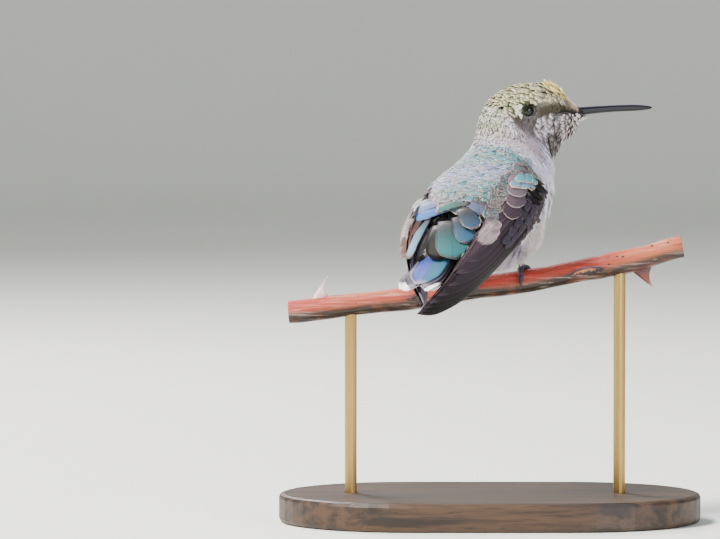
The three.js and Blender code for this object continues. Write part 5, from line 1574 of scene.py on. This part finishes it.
# Stand base: dark hardwood, oiled, its grain along the base; the long streaks and fine pores tell it from
# paint
woodMaterial, add, shader = newMaterial("stand base, dark oiled hardwood", Roughness=0.48)
where = add("TexCoord", out="Object")
grain = add("TexNoise", dict(Scale=1.0, Detail=5.0, Roughness=0.6, Distortion=0.3,
                             Vector=add("Mapping", {"Scale": (26.0, 420.0, 420.0), "Vector": where})))
pores = add("TexNoise", dict(Scale=1.0, Detail=3.0,
                             Vector=add("Mapping", {"Scale": (260.0, 4200.0, 4200.0), "Vector": where})))
streaked = add("Mix", (add("MapRange", (grain, 0.36, 0.64)), rgba("#23170f"), rgba("#4b3524")))
feed(shader,
     {"Base Color": add("Mix", (add("Math", (add("MapRange", (pores, 0.52, 0.70)), 0.6),
                                    operation="MULTIPLY"), streaked, rgba("#160e09"))),
                                    "Normal": add("Bump",
                                        dict(Strength=0.4, Distance=0.00006, Height=pores))})
# Stand rods: brass, drawn then brushed, with fine lines along each rod
brassMaterial, add, shader = newMaterial("stand rod, brushed brass", Metallic=1.0, Roughness=0.36)
drawn = add("TexNoise", dict(Scale=1.0, Detail=3.0, Vector=add("Mapping",
                                        {"Scale": (4000.0, 4000.0, 60.0),
                                         "Vector": add("TexCoord", out="Object")})))
feed(shader, {"Base Color": add("Mix", (drawn, rgba("#a5854c"), rgba("#c9a868"))),
              "Normal": add("Bump", dict(Strength=0.3, Distance=0.00003, Height=drawn))})
for node, material in (("stand_base", woodMaterial), ("stand_rod_left", brassMaterial),
                       ("stand_rod_right", brassMaterial)):
    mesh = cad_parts[node].data
    mesh.materials.clear()
    mesh.materials.append(material)

print("floor, light and camera")


# Matt paper: faint clouding and a fine tooth, so the sweep reads as paper and not as fog
paperMaterial, add, shader = newMaterial("paper sweep, matt pale", Roughness=0.9)
where = add("TexCoord", out="Object")
cloud = add("TexNoise", dict(Scale=6.0, Detail=3.0, Vector=where))
tooth = add("TexNoise", dict(Scale=900.0, Detail=3.0, Vector=where))
feed(shader, {"Base Color": add("Mix", (cloud, rgba("#eef0ea"), rgba("#e5e8e0"))),
              "Normal": add("Bump", dict(Strength=0.2, Distance=0.0002, Height=tooth))})
# matt paper sweep: floor that curves up far behind
sweepY = np.concatenate([np.linspace(-2600, 1500, 30),
                         1500 + 500 * np.sin(np.linspace(0, np.pi / 2, 24))[1:], np.full(12, 2000.0)])
sweepZ = np.concatenate([np.zeros(30), 500 * (1 - np.cos(np.linspace(0, np.pi / 2, 24)))[1:],
                         np.linspace(520, 2600, 12)])
x = np.linspace(-2600, 2600, 12)
points = np.stack([np.broadcast_to(x[None], (len(sweepY), 12)),
                   np.broadcast_to(sweepY[:, None], (len(sweepY), 12)),
                   np.broadcast_to(sweepZ[:, None], (len(sweepY), 12))], -1)
mesh = bpy.data.meshes.new("floor")
mesh.from_pydata((points.reshape(-1, 3) * mm).tolist(), [], gridFaces(len(sweepY), 12).tolist())
mesh.update()
mesh.shade_smooth()
floor = bpy.data.objects.new("floor", mesh)
bpy.context.scene.collection.objects.link(floor)
mesh.materials.append(paperMaterial)


def areaLight(name, place, aim, size, power, colour="#ffffff"):
    # a round lamp at a place, turned to its aim; metres and watts
    data = bpy.data.lights.new(name, "AREA")
    data.shape = "DISK"
    data.size = size
    data.energy = power
    data.color = linear(colour)
    lamp = bpy.data.objects.new(name, data)
    lamp.location = place
    lamp.rotation_euler = (Vector(aim) - Vector(place)).to_track_quat("-Z", "Y").to_euler()
    bpy.context.scene.collection.objects.link(lamp)
    return lamp


heart = (0.0, 0.0, 0.06)
areaLight("key", (-0.48, -0.36, 0.70), heart, 0.30, 22.0, "#fffaf2")
areaLight("fill", (0.7, -0.8, 0.35), heart, 0.7, 9.0, "#eef1ff")
areaLight("rim", (-0.35, 0.55, 0.55), heart, 0.3, 9.0, "#fff8ff")
world = bpy.data.worlds.new("studio")
bpy.context.scene.world = world
world.use_nodes = True
world.node_tree.nodes["Background"].inputs[0].default_value = rgba("#e7ecf1")
world.node_tree.nodes["Background"].inputs[1].default_value = 0.40

view = dict(elevation=3.0, distance=1300.0, pixelsPerMm=4.8, aim=(-27.083, 0.0, 52.604))
up = math.radians(view["elevation"])
cameraData = bpy.data.cameras.new("camera")
cameraData.lens = 36.0 * view["distance"] / (720 / view["pixelsPerMm"])
cameraData.clip_end = 20
camera = bpy.data.objects.new("camera", cameraData)
camera.location = [c * mm for c in (view["aim"][0], -view["distance"] * math.cos(up),
                                    view["aim"][2] + view["distance"] * math.sin(up))]
camera.rotation_euler = (math.pi / 2 - up, 0, 0)
bpy.context.scene.collection.objects.link(camera)
bpy.context.scene.camera = camera

print("done")
